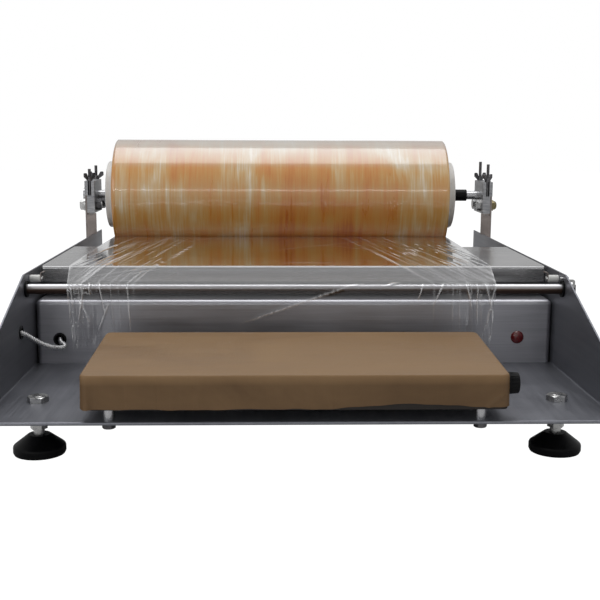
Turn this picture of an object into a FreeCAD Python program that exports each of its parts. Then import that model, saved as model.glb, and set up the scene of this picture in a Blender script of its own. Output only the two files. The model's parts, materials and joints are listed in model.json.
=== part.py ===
import FreeCAD
import Part
import math
import os

# Tabletop cling film wrapper. A folded steel tray stands on four levelling feet. A film roll
# turns on a clamped shaft at the rear, the film runs over a deck and a heated cutter bar, and
# the packs are sealed on a tilted hot plate at the front.
# Lengths are millimetres. X runs to the right, Y to the rear, Z up. The origin is on the
# ground, under the middle of the whole machine. Setbacks are measured from the tray's front
# edge and heights from the tray floor. The pick margin is how far off an edge may lie when the
# edges to round are picked out.

# Sheet metal
sheet = 1.5
bend_radius = 1.5
corner_relief = 0.8

# Tray
tray_side_room = 45.0
tray_depth = 640.0
ground_gap = 46.5
wall_height = 99.0
wall_front_height = 31.5
wall_slope_run = 177.0
wall_corner_radius = 6.0
tray_hem = 5.5
rear_flange = 60.0
cut_over = 1.0
edge_break = 0.8
pick_margin = 0.1

# Deck that carries the film
deck_setback = 242.0
deck_depth = 185.0
deck_front_flange = 17.5
deck_rear_flange = 12.0
deck_side_flange = 15.0
deck_hem = 6.0
deck_screw_inset = 25.0
deck_screw_drop = 9.0

# Control box
box_setback = 216.0
box_depth = 176.0
box_height = 67.0
box_side_gap = 0.8
box_sheet = 1.2
box_corner = 5.0
box_flange = 12.0
box_screw_inset = 40.0

# Cutter bar and its bushes
bar_diameter = 10.0
bar_wall = 1.0
bar_setback = 183.0
bar_height = 84.0
bar_overhang = 3.0
heater_inset = 8.0
bush_diameter = 14.0
bush_flange = 16.5
bush_flange_thickness = 2.0
bush_cap_length = 4.5

# White insulators behind the bar, and the tags on them
insulator_diameter = 7.5
insulator_length = 11.0
insulator_setback = 201.0
insulator_height = 92.0
tag_width = 5.0
tag_thickness = 0.8
tag_height = 6.5
tag_hook = 4.0
tag_hook_rise = 1.0
tag_bend = 1.0

# Terminal bracket outside the right wall
bracket_width = 7.8
bracket_height = 9.2
bracket_foot_length = 14.0
bracket_foot_height = 6.0
bracket_thickness = 1.2
bracket_gap = 1.0
bracket_rise = 6.35
bracket_corner = 2.5
bracket_hole = 3.0
bracket_hole_inset = 4.4
bracket_hole_drop = 4.0
bracket_screw_inset = 4.5

# Pilot lamp
lamp_offset = 233.5
lamp_height = 27.5
lamp_lens = 14.0
lamp_proud = 3.6
lamp_body = 11.6
lamp_body_length = 22.0
lamp_nut = 16.0
lamp_nut_thickness = 3.0
lamp_tip = 8.8
lamp_blade_width = 5.0
lamp_blade_length = 8.0
lamp_blade_thickness = 0.8

# Hot plate
plate_width = 360.0
plate_depth = 145.0
plate_thickness = 30.0
plate_offset = -4.7
plate_setback = 2.4
plate_clearance = 9.7
plate_tilt = 3.0
plate_shell = 1.0
plate_corner = 6.0
plate_edge = 1.6
slab_thickness = 6.0
element_thickness = 2.0
cloth_thickness = 0.5
cloth_lower_edge = 0.5
standoff_diameter = 10.0
standoff_spacing = 316.0
standoff_front_inset = 9.2
standoff_rear_inset = 12.0
standoff_thread_depth = 8.5
standoff_washer = 1.6
standoff_washer_diameter = 12.0

# Thermostat in the right end of the hot plate
knob_diameter = 19.5
knob_length = 9.5
knob_gap = 1.0
knob_inset = 17.0
knob_height = 18.0
knob_flutes = 18
knob_flute_radius = 0.9
knob_skirt = 1.5
knob_taper = 0.8
knob_mark_width = 1.2
knob_mark_depth = 0.6
knob_socket = 5.7
spindle_diameter = 6.0
spindle_reach = 16.0
thermostat_length = 34.0
thermostat_width = 22.0
thermostat_height = 16.0

# Levelling feet
foot_spacing_x = 470.0
foot_spacing_y = 504.0
foot_stud = 10.0
foot_pad_diameter = 47.0
foot_rim = 7.5
foot_cone_top = 18.0
foot_cone_diameter = 20.0
foot_hex = 13.5
foot_hex_bottom = 23.0
foot_hex_height = 5.0
foot_stud_above_floor = 5.5
foot_stud_tip = 1.0
foot_socket = 5.0
foot_rounding = 3.0
foot_rim_chamfer = 1.0
foot_stud_hole = 11.0
m10_across_flats = 17.0
m10_nut_height = 5.0
thread_clearance = 0.08

# Film roll and its shaft
roll_setback = 595.0
axis_height = 152.5
roll_diameter = 151.0
roll_width = 450.0
roll_offset = -12.0
core_inner = 76.2
core_wall = 4.0
plug_rim = 94.0
plug_rim_thickness = 6.0
plug_step = 91.0
plug_step_thickness = 6.5
plug_spigot_length = 28.0
plug_shell = 3.0
plug_hub = 26.0
plug_ribs = 6
plug_rib_thickness = 3.0
plug_dish = 5.0
plug_rounding = 1.5
shaft_diameter = 12.0
shaft_running_fit = 0.06
shaft_chamfer = 1.0
shaft_end_inset = 1.5
sleeve_diameter = 16.0
sleeve_length = 22.5
sleeve_gap = 0.3
collar_diameter = 18.0
collar_length = 5.5

# Roll posts and clamps
post_thickness = 3.0
post_standoff = 5.5
post_foot_height = 50.0
post_notch = 13.0
post_flange_width = 15.0
post_wall_gap = 1.0
post_flange_drop = 0.5
post_relief_inset = 3.0
post_relief_height = 2.5
block_width = 11.0
block_length = 58.0
block_height = 23.5
cap_height = 20.0
cap_inset = 0.3
cap_shaft_gap = 0.3
clamp_stud = 4.0
clamp_stud_spacing = 52.0
clamp_stud_depth = 16.0
clamp_stud_tops = {"left_front": 188.5, "left_rear": 191.5, "right_front": 196.5, "right_rear": 198.5}
clamp_slot = 4.6
wing_span = 21.4
wing_waist = 6.6
wing_height = 10.5
wing_thickness = 2.0
wing_hub = 8.5
wing_hub_top = 6.5
wing_hub_height = 5.0
wing_lift = 0.6
wing_rounding = 1.4
clamp_bolt_spacing = 32.0
clamp_bolt_drop = 13.0
post_bolt_spacing = 28.0
post_bolt_height = 70.0
m8_diameter = 8.0
m8_across_flats = 13.0
m8_head_height = 5.3
m8_nut_height = 6.5
m8_overhang = 1.0
m8_washer_diameter = 17.0
cap_nut_height = 8.0
cap_nut_hex_height = 3.6
cap_nut_dome_diameter = 12.0
cap_nut_rounding = 3.4
cap_nut_bore_depth = 5.2
spacer_diameter = 14.0

# Film web
film_thickness = 0.6
film_roll_gap = 0.3
film_width = 436.0
film_offset = -14.0
film_end_height = 14.0

# Small screws
m4_diameter = 4.0
m4_head = 7.5
m4_head_height = 2.4
head_rounding_share = 0.6
hex_chamfer_share = 0.6
m3_diameter = 3.0
m3_head = 5.6
m3_head_height = 1.8
m3_nut = 5.5
m3_nut_height = 2.4
short_screw = 6.0
screw_slot = 0.8
m6_diameter = 6.0
m6_across_flats = 10.0
m6_head_height = 5.0
screw_clearance = 0.05

# Grommets, conduit, lead and cable gland
conduit_diameter = 5.0
lead_diameter = 5.0
grommet_groove = 11.0
grommet_flange = 13.5
grommet_bore = 9.5
grommet_flange_thickness = 1.2
gland_hex = 19.0
gland_setback = 340.0
gland_height = 32.0
gland_thread = 16.0
gland_bore = 8.0
gland_thread_bore = 11.0
gland_body_length = 4.8
gland_neck_length = 1.2
gland_neck = 16.0
gland_nut_length = 6.0
gland_dome_length = 4.5
gland_tip = 12.0
gland_thread_inside = 6.0

# Terminal block
terminal_pitch = 12.0
terminal_count = 6
terminal_depth = 22.0
terminal_height = 18.0
terminal_screw = 4.0
terminal_screw_height = 4.0
terminal_screw_inset = 5.5
terminal_well = 5.0
terminal_well_depth = 6.0
terminal_notch_width = 6.6
terminal_notch_depth = 3.0
terminal_wall = 4.0

# The conduit from the control box through the left wall to the end of the cutter bar, and
# the lead from the bracket down to the right wall. The points are chosen by hand, as distance
# outward from the wall's outer face, setback and height above the tray floor.
conduit_points = [
    (-26.5, 218.0, 26.0), (-28.0, 207.0, 25.0), (-34.7, 198.5, 23.6), (-36.5, 188.0, 22.8),
    (-29.0, 176.5, 25.0), (-17.5, 167.5, 31.5), (-5.5, 157.3, 43.3), (3.0, 154.9, 46.9),
    (5.9, 154.0, 53.5), (6.4, 157.0, 62.0), (5.8, 163.0, 70.0), (4.2, 170.5, 76.5),
    (2.9, 177.2, 80.6),
]
lead_points = [
    (7.2, 177.6, 89.0), (7.3, 178.0, 83.0), (8.5, 179.5, 77.0), (9.5, 184.0, 69.5),
    (10.0, 192.0, 62.0), (10.2, 202.0, 55.0), (10.2, 213.0, 50.0), (10.2, 224.0, 46.0),
    (9.6, 233.0, 43.6), (6.5, 239.0, 42.7), (0.0, 240.9, 42.5), (-6.5, 240.9, 42.5),
]

# Places worked out from the sizes
V = FreeCAD.Vector
RIGHT = V(1, 0, 0)
REAR = V(0, 1, 0)
UP = V(0, 0, 1)
SIDES = (-1, 1)

floor_top = ground_gap + sheet
wall_inner = roll_width / 2 + tray_side_room
wall_outer = wall_inner + sheet
overall_depth = roll_setback + roll_diameter / 2
front = -overall_depth / 2
rear = front + tray_depth
wall_top = floor_top + wall_height
wall_slope_top = front + wall_slope_run

deck_front = front + deck_setback
deck_rear = deck_front + deck_depth

box_front = front + box_setback
box_rear = box_front + box_depth
box_side = wall_inner - box_side_gap
box_top = floor_top + box_height

bar_y = front + bar_setback
bar_z = floor_top + bar_height
bar_radius = bar_diameter / 2

axis_y = front + roll_setback
axis_z = floor_top + axis_height
roll_left = roll_offset - roll_width / 2
roll_right = roll_offset + roll_width / 2
plug_reach = plug_rim_thickness + plug_step_thickness
core_radius = core_inner / 2 + core_wall

post_inner = wall_outer + post_standoff
post_outer = post_inner + post_thickness
block_inner = post_inner - block_width
block_front = axis_y - block_length / 2
block_rear = axis_y + block_length / 2
block_bottom = axis_z - block_height
cap_outer = post_outer - cap_inset
clamp_x = (block_inner + cap_outer) / 2
cap_top = axis_z + cap_height
m8_washer = cap_nut_height - m8_head_height
clamp_bolt_z = axis_z - clamp_bolt_drop
post_bolt_z = floor_top + post_bolt_height

plate_corner_y = front + plate_setback
plate_corner_z = floor_top + plate_clearance
plate_half = plate_width / 2
slab_top = plate_thickness - plate_shell
slab_bottom = slab_top - slab_thickness
element_bottom = slab_bottom - element_thickness
thermostat_end = plate_half - plate_shell
knob_start = plate_half + cloth_thickness + knob_gap


# Basic shapes
def box(x0, x1, y0, y1, z0, z1):
    low_x, low_y, low_z = min(x0, x1), min(y0, y1), min(z0, z1)
    return Part.makeBox(abs(x1 - x0), abs(y1 - y0), abs(z1 - z0), V(low_x, low_y, low_z))


def rod(start, direction, diameter, length):
    return Part.makeCylinder(diameter / 2, length, start, direction)


def ring(start, direction, outer, inner, length):
    bore_start = start - direction * length
    return rod(start, direction, outer, length).cut(rod(bore_start, direction, inner, 3 * length))


def hex_prism(start, direction, across_flats, height):
    corner = across_flats / math.sqrt(3)
    points = [V(corner * math.cos(math.radians(60 * i)), corner * math.sin(math.radians(60 * i)), 0)
              for i in range(6)]
    prism = Part.Face(Part.makePolygon(points + points[:1])).extrude(V(0, 0, height))
    return placed(prism, start, direction)


def chamfered_hex(start, direction, across_flats, height):
    # The corners of a nut or a bolt head are turned down to a cone at the free end.
    blank = hex_prism(start, direction, across_flats, height)
    corner_radius = across_flats / math.sqrt(3)
    drop = (corner_radius - across_flats / 2) * hex_chamfer_share
    rim = height - drop * (1 + hex_chamfer_share)
    turned = [V(0, 0, 0), V(corner_radius + drop, 0, 0), V(corner_radius + drop, 0, rim),
              V(across_flats / 2, 0, height), V(0, 0, height)]
    return blank.common(placed(turned_shape(turned), start, direction))


def turned_shape(points, radii=None):
    # A solid of revolution about Z from an outline in the XZ plane.
    return rounded_face(points, radii or [0] * len(points)).revolve(V(0, 0, 0), UP, 360)


def placed(shape, start, direction):
    # A shape built along Z is moved to the start and turned to point along the direction.
    shape.Placement = FreeCAD.Placement(start, FreeCAD.Rotation(UP, direction))
    return shape


def group(shapes):
    return Part.makeCompound(shapes)


def screw_hole(diameter):
    return diameter + 2 * screw_clearance


def mirrored(shape):
    return shape.mirror(V(0, 0, 0), RIGHT)


def round_edges(shape, radius, wanted):
    return shape.makeFillet(radius, [edge for edge in shape.Edges if wanted(edge)])


# Outlines with rounded corners, and sheets folded along them
def rounded_face(points, radii):
    entries, middles, exits = [], [], []
    count = len(points)
    for i, corner in enumerate(points):
        back = (points[i - 1] - corner).normalize()
        ahead = (points[(i + 1) % count] - corner).normalize()
        half = back.getAngle(ahead) / 2
        reach = radii[i] / math.tan(half)
        entries.append(corner + back * reach)
        exits.append(corner + ahead * reach)
        inward = (back + ahead).normalize() if radii[i] else back
        middles.append(corner + inward * (radii[i] / math.sin(half) - radii[i]))
    edges = []
    for i in range(count):
        if radii[i]:
            edges.append(Part.Arc(entries[i], middles[i], exits[i]).toShape())
        following = entries[(i + 1) % count]
        if exits[i].distanceToPoint(following) > 1e-6:
            edges.append(Part.LineSegment(exits[i], following).toShape())
    return Part.Face(Part.Wire(edges))


def offset_path(path, distance):
    # The same path moved sideways to its left, corner by corner.
    moved = []
    for i, (u, v) in enumerate(path):
        normals = []
        for a, b in ((i - 1, i), (i, i + 1)):
            if 0 <= a and b < len(path):
                du, dv = path[b][0] - path[a][0], path[b][1] - path[a][1]
                size = math.hypot(du, dv)
                normals.append((-dv / size, du / size))
        if len(normals) == 1:
            shift = distance
            nu, nv = normals[0]
        else:
            nu, nv = normals[0][0] + normals[1][0], normals[0][1] + normals[1][1]
            size = math.hypot(nu, nv)
            nu, nv = nu / size, nv / size
            shift = distance / (nu * normals[0][0] + nv * normals[0][1])
        moved.append((u + nu * shift, v + nv * shift))
    return moved


def folded_face(path, thickness, inner_radii, place):
    # The sheet lies to the left of the path, or to its right when the thickness is negative.
    # Each bend has its inner radius on the hollow side.
    other = offset_path(path, thickness)
    near, far = [0.0], [0.0]
    for i in range(1, len(path) - 1):
        before = (path[i][0] - path[i - 1][0], path[i][1] - path[i - 1][1])
        after = (path[i + 1][0] - path[i][0], path[i + 1][1] - path[i][1])
        turns_left = before[0] * after[1] - before[1] * after[0] > 0
        inner = inner_radii[i - 1]
        outer = inner + abs(thickness)
        path_is_outside = turns_left == (thickness > 0)
        near.append(outer if path_is_outside else inner)
        far.append(inner if path_is_outside else outer)
    near.append(0.0)
    far.append(0.0)
    points = [place(u, v) for u, v in path + other[::-1]]
    return rounded_face(points, near + far[::-1])


def in_side_view(y, z):
    return V(0, y, z)


def in_front_view(x, z):
    return V(x, 0, z)


def in_top_view(x, y):
    return V(x, y, 0)


def fold_across(path, x0, x1, thickness=sheet, radius=bend_radius):
    face = folded_face(path, thickness, [radius] * len(path), in_side_view)
    face.translate(V(x0, 0, 0))
    return face.extrude(V(x1 - x0, 0, 0))


def fold_along(path, y0, y1, thickness=sheet, radius=bend_radius):
    face = folded_face(path, thickness, [radius] * len(path), in_front_view)
    face.translate(V(0, y0, 0))
    return face.extrude(V(0, y1 - y0, 0))


def fold_upright(path, z0, z1, thickness, radius):
    face = folded_face(path, thickness, [radius] * len(path), in_top_view)
    face.translate(V(0, 0, z0))
    return face.extrude(V(0, 0, z1 - z0))


# A tube along a route: straight runs joined by the largest arcs that the runs allow
def tube_along(name, points, diameter):
    edges = []
    radii = []
    start = points[0]
    for i in range(1, len(points) - 1):
        back = points[i - 1] - points[i]
        ahead = points[i + 1] - points[i]
        shorter = min(back.Length, ahead.Length)
        turn = math.pi - back.getAngle(ahead)
        reach = 0.45 * shorter
        radius = reach / math.tan(turn / 2)
        radii.append(radius)
        back.normalize()
        ahead.normalize()
        arc_start = points[i] + back * reach
        arc_end = points[i] + ahead * reach
        middle = points[i] + (back + ahead).normalize() * (radius / math.cos(turn / 2) - radius)
        edges.append(Part.LineSegment(start, arc_start).toShape())
        edges.append(Part.Arc(arc_start, middle, arc_end).toShape())
        start = arc_end
    edges.append(Part.LineSegment(start, points[-1]).toShape())
    path = Part.Wire(edges)
    section = Part.Wire(Part.makeCircle(diameter / 2, points[0], points[1] - points[0]))
    tube = path.makePipeShell([section], True, True)
    ideal = math.pi * (diameter / 2) ** 2 * path.Length
    print(f"{name}: length {path.Length:.1f} mm, volume ratio {tube.Volume / ideal:.5f}, "
          f"radii {[round(radius, 1) for radius in radii]}")
    return tube


# Hot plate frame: x from the plate's middle, y from its front edge, z from its underside
def on_plate(shape):
    shape.rotate(V(0, 0, 0), RIGHT, plate_tilt)
    shape.translate(V(plate_offset, plate_corner_y, plate_corner_z))
    return shape


# Places of holes, screws and feet
conduit_route = [V(-wall_outer - outward, front + setback, floor_top + height)
                 for outward, setback, height in conduit_points]
lead_route = [V(wall_outer + outward, front + setback, floor_top + height)
              for outward, setback, height in lead_points]
conduit_panel_hole = V(conduit_route[0].x, box_front, conduit_route[0].z)
conduit_at_wall = (conduit_route[6] + conduit_route[7]) * 0.5
conduit_wall_hole = V(-wall_outer, conduit_at_wall.y, conduit_at_wall.z)
lead_wall_hole = V(wall_outer, lead_route[-1].y, lead_route[-1].z)
gland_hole = V(-wall_outer, front + gland_setback, floor_top + gland_height)

foot_front = front + (tray_depth - foot_spacing_y) / 2
foot_rear = foot_front + foot_spacing_y
foot_places = {
    "front_left": (-foot_spacing_x / 2, foot_front),
    "front_right": (foot_spacing_x / 2, foot_front),
    "rear_left": (-foot_spacing_x / 2, foot_rear),
    "rear_right": (foot_spacing_x / 2, foot_rear),
}
standoff_places = [(plate_offset + side * standoff_spacing / 2, plate_corner_y + inset)
                   for inset in (standoff_front_inset, plate_depth - standoff_rear_inset)
                   for side in SIDES]
box_screw_places = [(side * (box_side - box_screw_inset), y)
                    for side in SIDES
                    for y in (box_front + box_sheet + box_flange / 2, box_rear - box_sheet - box_flange / 2)]
deck_screw_ys = [deck_front + deck_screw_inset, deck_front + deck_depth / 2, deck_rear - deck_screw_inset]
deck_screw_z = wall_top - deck_screw_drop
insulator_y = front + insulator_setback
insulator_z = floor_top + insulator_height
post_bolt_ys = [axis_y - post_bolt_spacing / 2, axis_y + post_bolt_spacing / 2]
clamp_bolt_ys = [axis_y - clamp_bolt_spacing / 2, axis_y + clamp_bolt_spacing / 2]
stud_ys = [axis_y - clamp_stud_spacing / 2, axis_y + clamp_stud_spacing / 2]
wing_nuts = {
    "left_front": (-1, stud_ys[0], 58.0),
    "left_rear": (-1, stud_ys[1], -8.0),
    "right_front": (1, stud_ys[0], 48.0),
    "right_rear": (1, stud_ys[1], 34.0),
}
lamp_place = V(lamp_offset, box_front, floor_top + lamp_height)

# The terminal bracket's foot lies on the wall just above the bush, and its tab stands in front
bracket_y = bar_y - bush_diameter / 2 - bracket_gap
bracket_bottom = bar_z - bracket_height / 2 + bracket_rise
bracket_top = bracket_bottom + bracket_height
bracket_foot_bottom = bar_z + bush_diameter / 2 + bracket_gap / 2
bracket_screw_y = bracket_y - bracket_thickness + bracket_foot_length - bracket_screw_inset
bracket_screw_z = bracket_foot_bottom + bracket_foot_height / 2


# Tray
def tray_pan():
    inner = wall_inner
    path = [(-inner, wall_top), (-inner, floor_top), (inner, floor_top), (inner, wall_top)]
    pan = fold_along(path, front + sheet, rear, -sheet)
    low, high = floor_top + wall_front_height, wall_top + cut_over
    slope = Part.Face(Part.makePolygon(
        [V(-wall_outer, y, z) for y, z in ((front, high), (front, low), (front + sheet, low),
                                           (wall_slope_top, wall_top), (wall_slope_top, high), (front, high))]))
    pan = pan.cut(slope.extrude(V(2 * wall_outer, 0, 0)))
    pan = round_edges(pan, wall_corner_radius, is_wall_corner)
    hem_side = inner - bend_radius - corner_relief
    fold_y = front + sheet
    hem = rod(V(-hem_side, fold_y, ground_gap), RIGHT, 2 * sheet, 2 * hem_side)
    hem = hem.cut(box(-inner, inner, fold_y, fold_y + 2 * sheet, 0, wall_top))
    hem = hem.fuse(box(-hem_side, hem_side, fold_y, front + tray_hem, ground_gap - sheet, ground_gap))
    flange_path = [(axis_y, floor_top), (rear - sheet, floor_top), (rear - sheet, floor_top + rear_flange)]
    flange = fold_across(flange_path, -hem_side, hem_side, -sheet)
    pan = pan.cut(box(-inner, inner, rear - sheet - bend_radius, rear, 0, wall_top))
    pan = pan.fuse([hem, flange]).removeSplitter()
    cutters = [rod(V(x, y, 0), UP, foot_stud_hole, wall_top) for x, y in foot_places.values()]
    cutters += [rod(V(x, y, 0), UP, screw_hole(m6_diameter), wall_top) for x, y in standoff_places]
    cutters += [rod(V(x, y, 0), UP, screw_hole(m4_diameter), wall_top) for x, y in box_screw_places]
    return pan.cut(cutters + wall_cutters())


def is_wall_corner(edge):
    # The corners at the front end and at the top end of each wall's sloping edge.
    middle = edge.CenterOfMass
    low = abs(middle.y - front - sheet) < 0.01 and abs(middle.z - floor_top - wall_front_height) < 0.01
    high = abs(middle.y - wall_slope_top) < 0.01 and abs(middle.z - wall_top) < 0.01
    return (low or high) and abs(middle.x) > wall_inner


def wall_cutters():
    cutters = []
    for side in SIDES:
        start = V(side * (wall_inner - cut_over), 0, 0)
        outward = RIGHT * side
        places = [(bar_y, bar_z, bush_diameter), (insulator_y, insulator_z, screw_hole(m3_diameter))]
        places += [(y, deck_screw_z, screw_hole(m4_diameter)) for y in deck_screw_ys]
        places += [(y, post_bolt_z, screw_hole(m8_diameter)) for y in post_bolt_ys]
        if side < 0:
            places.append((conduit_wall_hole.y, conduit_wall_hole.z, grommet_groove))
            places.append((gland_hole.y, gland_hole.z, gland_thread))
        else:
            places.append((lead_wall_hole.y, lead_wall_hole.z, grommet_groove))
            places.append((bracket_screw_y, bracket_screw_z, screw_hole(m3_diameter)))
        cutters += [rod(start + V(0, y, z), outward, diameter, sheet + 2 * cut_over) for y, z, diameter in places]
    return cutters


def foot_nuts():
    nuts = []
    bore = foot_stud + 2 * thread_clearance
    for x, y in foot_places.values():
        for start, direction in ((V(x, y, floor_top), UP), (V(x, y, ground_gap), UP * -1)):
            nut = chamfered_hex(start, direction, m10_across_flats, m10_nut_height)
            nuts.append(nut.cut(rod(V(x, y, 0), UP, bore, wall_top)))
    return group(nuts)


# Feet
def foot_pad(place):
    rim = foot_pad_diameter / 2
    neck = foot_cone_diameter / 2
    pad = turned_shape(
        [V(0, 0, 0), V(rim - foot_rim_chamfer, 0, 0), V(rim, 0, 2 * foot_rim_chamfer), V(rim, 0, foot_rim),
         V(neck, 0, foot_cone_top), V(0, 0, foot_cone_top)],
        [0, 0, 0, foot_rounding, foot_rounding / 2, 0])
    pad = pad.cut(rod(V(0, 0, foot_cone_top - foot_socket), UP, foot_stud, 2 * foot_socket))
    pad.translate(V(*place, 0))
    return pad


def foot_stud_with_hex(place):
    bottom = foot_cone_top - foot_socket
    top = floor_top + foot_stud_above_floor
    radius = foot_stud / 2
    stud = turned_shape([V(0, 0, bottom), V(radius, 0, bottom), V(radius, 0, top - foot_stud_tip),
                         V(radius - foot_stud_tip, 0, top), V(0, 0, top)])
    hexagon = chamfered_hex(V(0, 0, foot_hex_bottom), UP, foot_hex, foot_hex_height)
    stud = stud.fuse(hexagon).removeSplitter()
    stud.translate(V(*place, 0))
    return stud


# Deck
def platform_deck():
    inset = sheet + bend_radius + corner_relief
    across = [(deck_front, wall_top - deck_front_flange + sheet), (deck_front, wall_top), (deck_rear, wall_top),
              (deck_rear, wall_top - deck_rear_flange)]
    main = fold_across(across, -wall_inner + inset, wall_inner - inset, -sheet)
    along = [(-wall_inner, wall_top - deck_side_flange), (-wall_inner, wall_top), (wall_inner, wall_top),
             (wall_inner, wall_top - deck_side_flange)]
    sides = fold_along(along, deck_front + inset, deck_rear - inset, -sheet)
    hem_bottom = wall_top - deck_front_flange
    half = wall_inner - inset
    hem_centre = V(-half, deck_front + sheet, hem_bottom + sheet)
    hem = rod(hem_centre, RIGHT, 2 * sheet, 2 * half)
    hem = hem.common(box(-half, half, deck_front, deck_front + 2 * sheet, hem_bottom, hem_bottom + sheet))
    hem = hem.fuse(box(-half, half, deck_front + sheet, deck_front + 2 * sheet, hem_bottom + sheet,
                       hem_bottom + deck_hem))
    deck = main.fuse([sides, hem]).removeSplitter()
    holes = [rod(V(side * (wall_inner - inset), y, deck_screw_z), RIGHT * side, screw_hole(m4_diameter), 2 * inset)
             for side in SIDES for y in deck_screw_ys]
    return deck.cut(holes)


def pan_head_screw(seat, direction, diameter, head, head_height, length):
    # The shank runs along the direction from the seat, and the rounded head stands behind it.
    dome = turned_shape([V(0, 0, 0), V(head / 2, 0, 0), V(head / 2, 0, head_height), V(0, 0, head_height)],
                        [0, 0, head_height * head_rounding_share, 0])
    slot = box(-head, head, -screw_slot / 2, screw_slot / 2, head_height / 2, head_height + cut_over)
    return placed(dome.cut(slot), seat, direction * -1).fuse(rod(seat, direction, diameter, length))


def panel_screws():
    screws = []
    for side in SIDES:
        for y in deck_screw_ys:
            seat = V(side * wall_outer, y, deck_screw_z)
            screws.append(pan_head_screw(seat, RIGHT * -side, m4_diameter, m4_head, m4_head_height, short_screw))
    for x, y in box_screw_places:
        screws.append(pan_head_screw(V(x, y, ground_gap), UP, m4_diameter, m4_head, m4_head_height, short_screw))
    return group(screws)


# Control box
def control_box_cover():
    outer = box(-box_side, box_side, box_front, box_rear, floor_top, box_top)
    outer = round_edges(outer, box_corner, lambda edge: edge.BoundBox.ZMax > floor_top + 1)
    inner = box(-box_side + box_sheet, box_side - box_sheet, box_front + box_sheet, box_rear - box_sheet,
                floor_top, box_top - box_sheet)
    inner = round_edges(inner, box_corner - box_sheet, lambda edge: edge.BoundBox.ZMax > floor_top + 1)
    cover = outer.cut(inner)
    half = box_side - 2 * box_corner
    for y0, y1 in ((box_front + box_sheet / 2, box_front + box_flange),
                   (box_rear - box_flange, box_rear - box_sheet / 2)):
        cover = cover.fuse(box(-half, half, y0, y1, floor_top, floor_top + box_sheet))
    cutters = [rod(V(x, y, 0), UP, screw_hole(m4_diameter), box_top - box_corner) for x, y in box_screw_places]
    cutters.append(rod(conduit_panel_hole - REAR * cut_over, REAR, grommet_groove, box_flange))
    cutters.append(rod(lamp_place - REAR * cut_over, REAR, screw_hole(lamp_body), box_flange))
    cutters.append(rod(lead_wall_hole, RIGHT * -1, grommet_flange + cut_over, box_flange))
    cutters.append(rod(gland_hole, RIGHT, screw_hole(gland_thread), box_flange))
    for side in SIDES:
        # The lower ends of the side walls stand clear of the tray's bends.
        cutters.append(box(side * (box_side - bend_radius), side * wall_inner, box_front - cut_over,
                           box_rear + cut_over, floor_top - cut_over, floor_top + bend_radius))
    return cover.removeSplitter().cut(cutters)


def lamp_lens_on_panel():
    dome = Part.makeCone(lamp_lens / 2, lamp_tip / 2, lamp_proud, lamp_place, REAR * -1)
    return round_edges(dome, edge_break, lambda edge: edge.BoundBox.YMax < box_front - lamp_proud / 2)


def lamp_body_in_panel():
    body = rod(lamp_place, REAR, lamp_body, lamp_body_length)
    nut = hex_prism(lamp_place + REAR * box_sheet, REAR, lamp_nut, lamp_nut_thickness)
    blade = Part.makeBox(lamp_blade_width, lamp_blade_length, lamp_blade_thickness)
    blade.translate(lamp_place + V(-lamp_blade_width / 2, lamp_body_length, -lamp_blade_thickness / 2))
    return body.fuse([nut, blade]).removeSplitter()


# Terminal block in the middle of the control box
def terminal_places():
    middle = (box_front + box_rear) / 2
    return [((i + 0.5 - terminal_count / 2) * terminal_pitch, middle, side)
            for i in range(terminal_count) for side in SIDES]


def terminal_block():
    half = terminal_pitch * terminal_count / 2
    middle = (box_front + box_rear) / 2
    top = floor_top + terminal_height
    block = box(-half, half, middle - terminal_depth / 2, middle + terminal_depth / 2, floor_top, top)
    cutters = []
    for x, y, side in terminal_places():
        edge_y = y + side * terminal_depth / 2
        cutters.append(box(x - terminal_notch_width / 2, x + terminal_notch_width / 2, edge_y,
                           edge_y - side * terminal_notch_depth, floor_top + terminal_wall, top - terminal_wall))
        cutters.append(rod(V(x, y + side * terminal_screw_inset, top - terminal_well_depth), UP, terminal_well,
                           terminal_height))
    return block.cut(cutters)


def terminal_screws():
    bottom = floor_top + terminal_height - terminal_well_depth
    return group([rod(V(x, y + side * terminal_screw_inset, bottom), UP, terminal_screw, terminal_screw_height)
                  for x, y, side in terminal_places()])


# Cutter bar
def cutter_bar():
    half = wall_outer + bar_overhang
    return ring(V(-half, bar_y, bar_z), RIGHT, bar_diameter, bar_diameter - 2 * bar_wall, 2 * half)


def bar_heater_rod():
    half = wall_outer + bar_overhang - heater_inset
    return rod(V(-half, bar_y, bar_z), RIGHT, bar_diameter - 2 * bar_wall, 2 * half)


def bar_bushes():
    # The right bush is open for the bracket's lead. The left one ends in a cap that holds the conduit.
    bushes = []
    reach = bush_flange_thickness + sheet + bush_cap_length
    for side in SIDES:
        outward = RIGHT * side
        inner_face = V(side * (wall_inner - bush_flange_thickness), bar_y, bar_z)
        bush = rod(inner_face, outward, bush_flange, bush_flange_thickness)
        bush = bush.fuse(rod(inner_face, outward, bush_diameter, reach)).removeSplitter()
        bore_length = bush_flange_thickness + sheet + bar_overhang if side < 0 else reach
        bushes.append(bush.cut(rod(inner_face, outward, bar_diameter, bore_length)))
    return group(bushes).cut(conduit())


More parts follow.
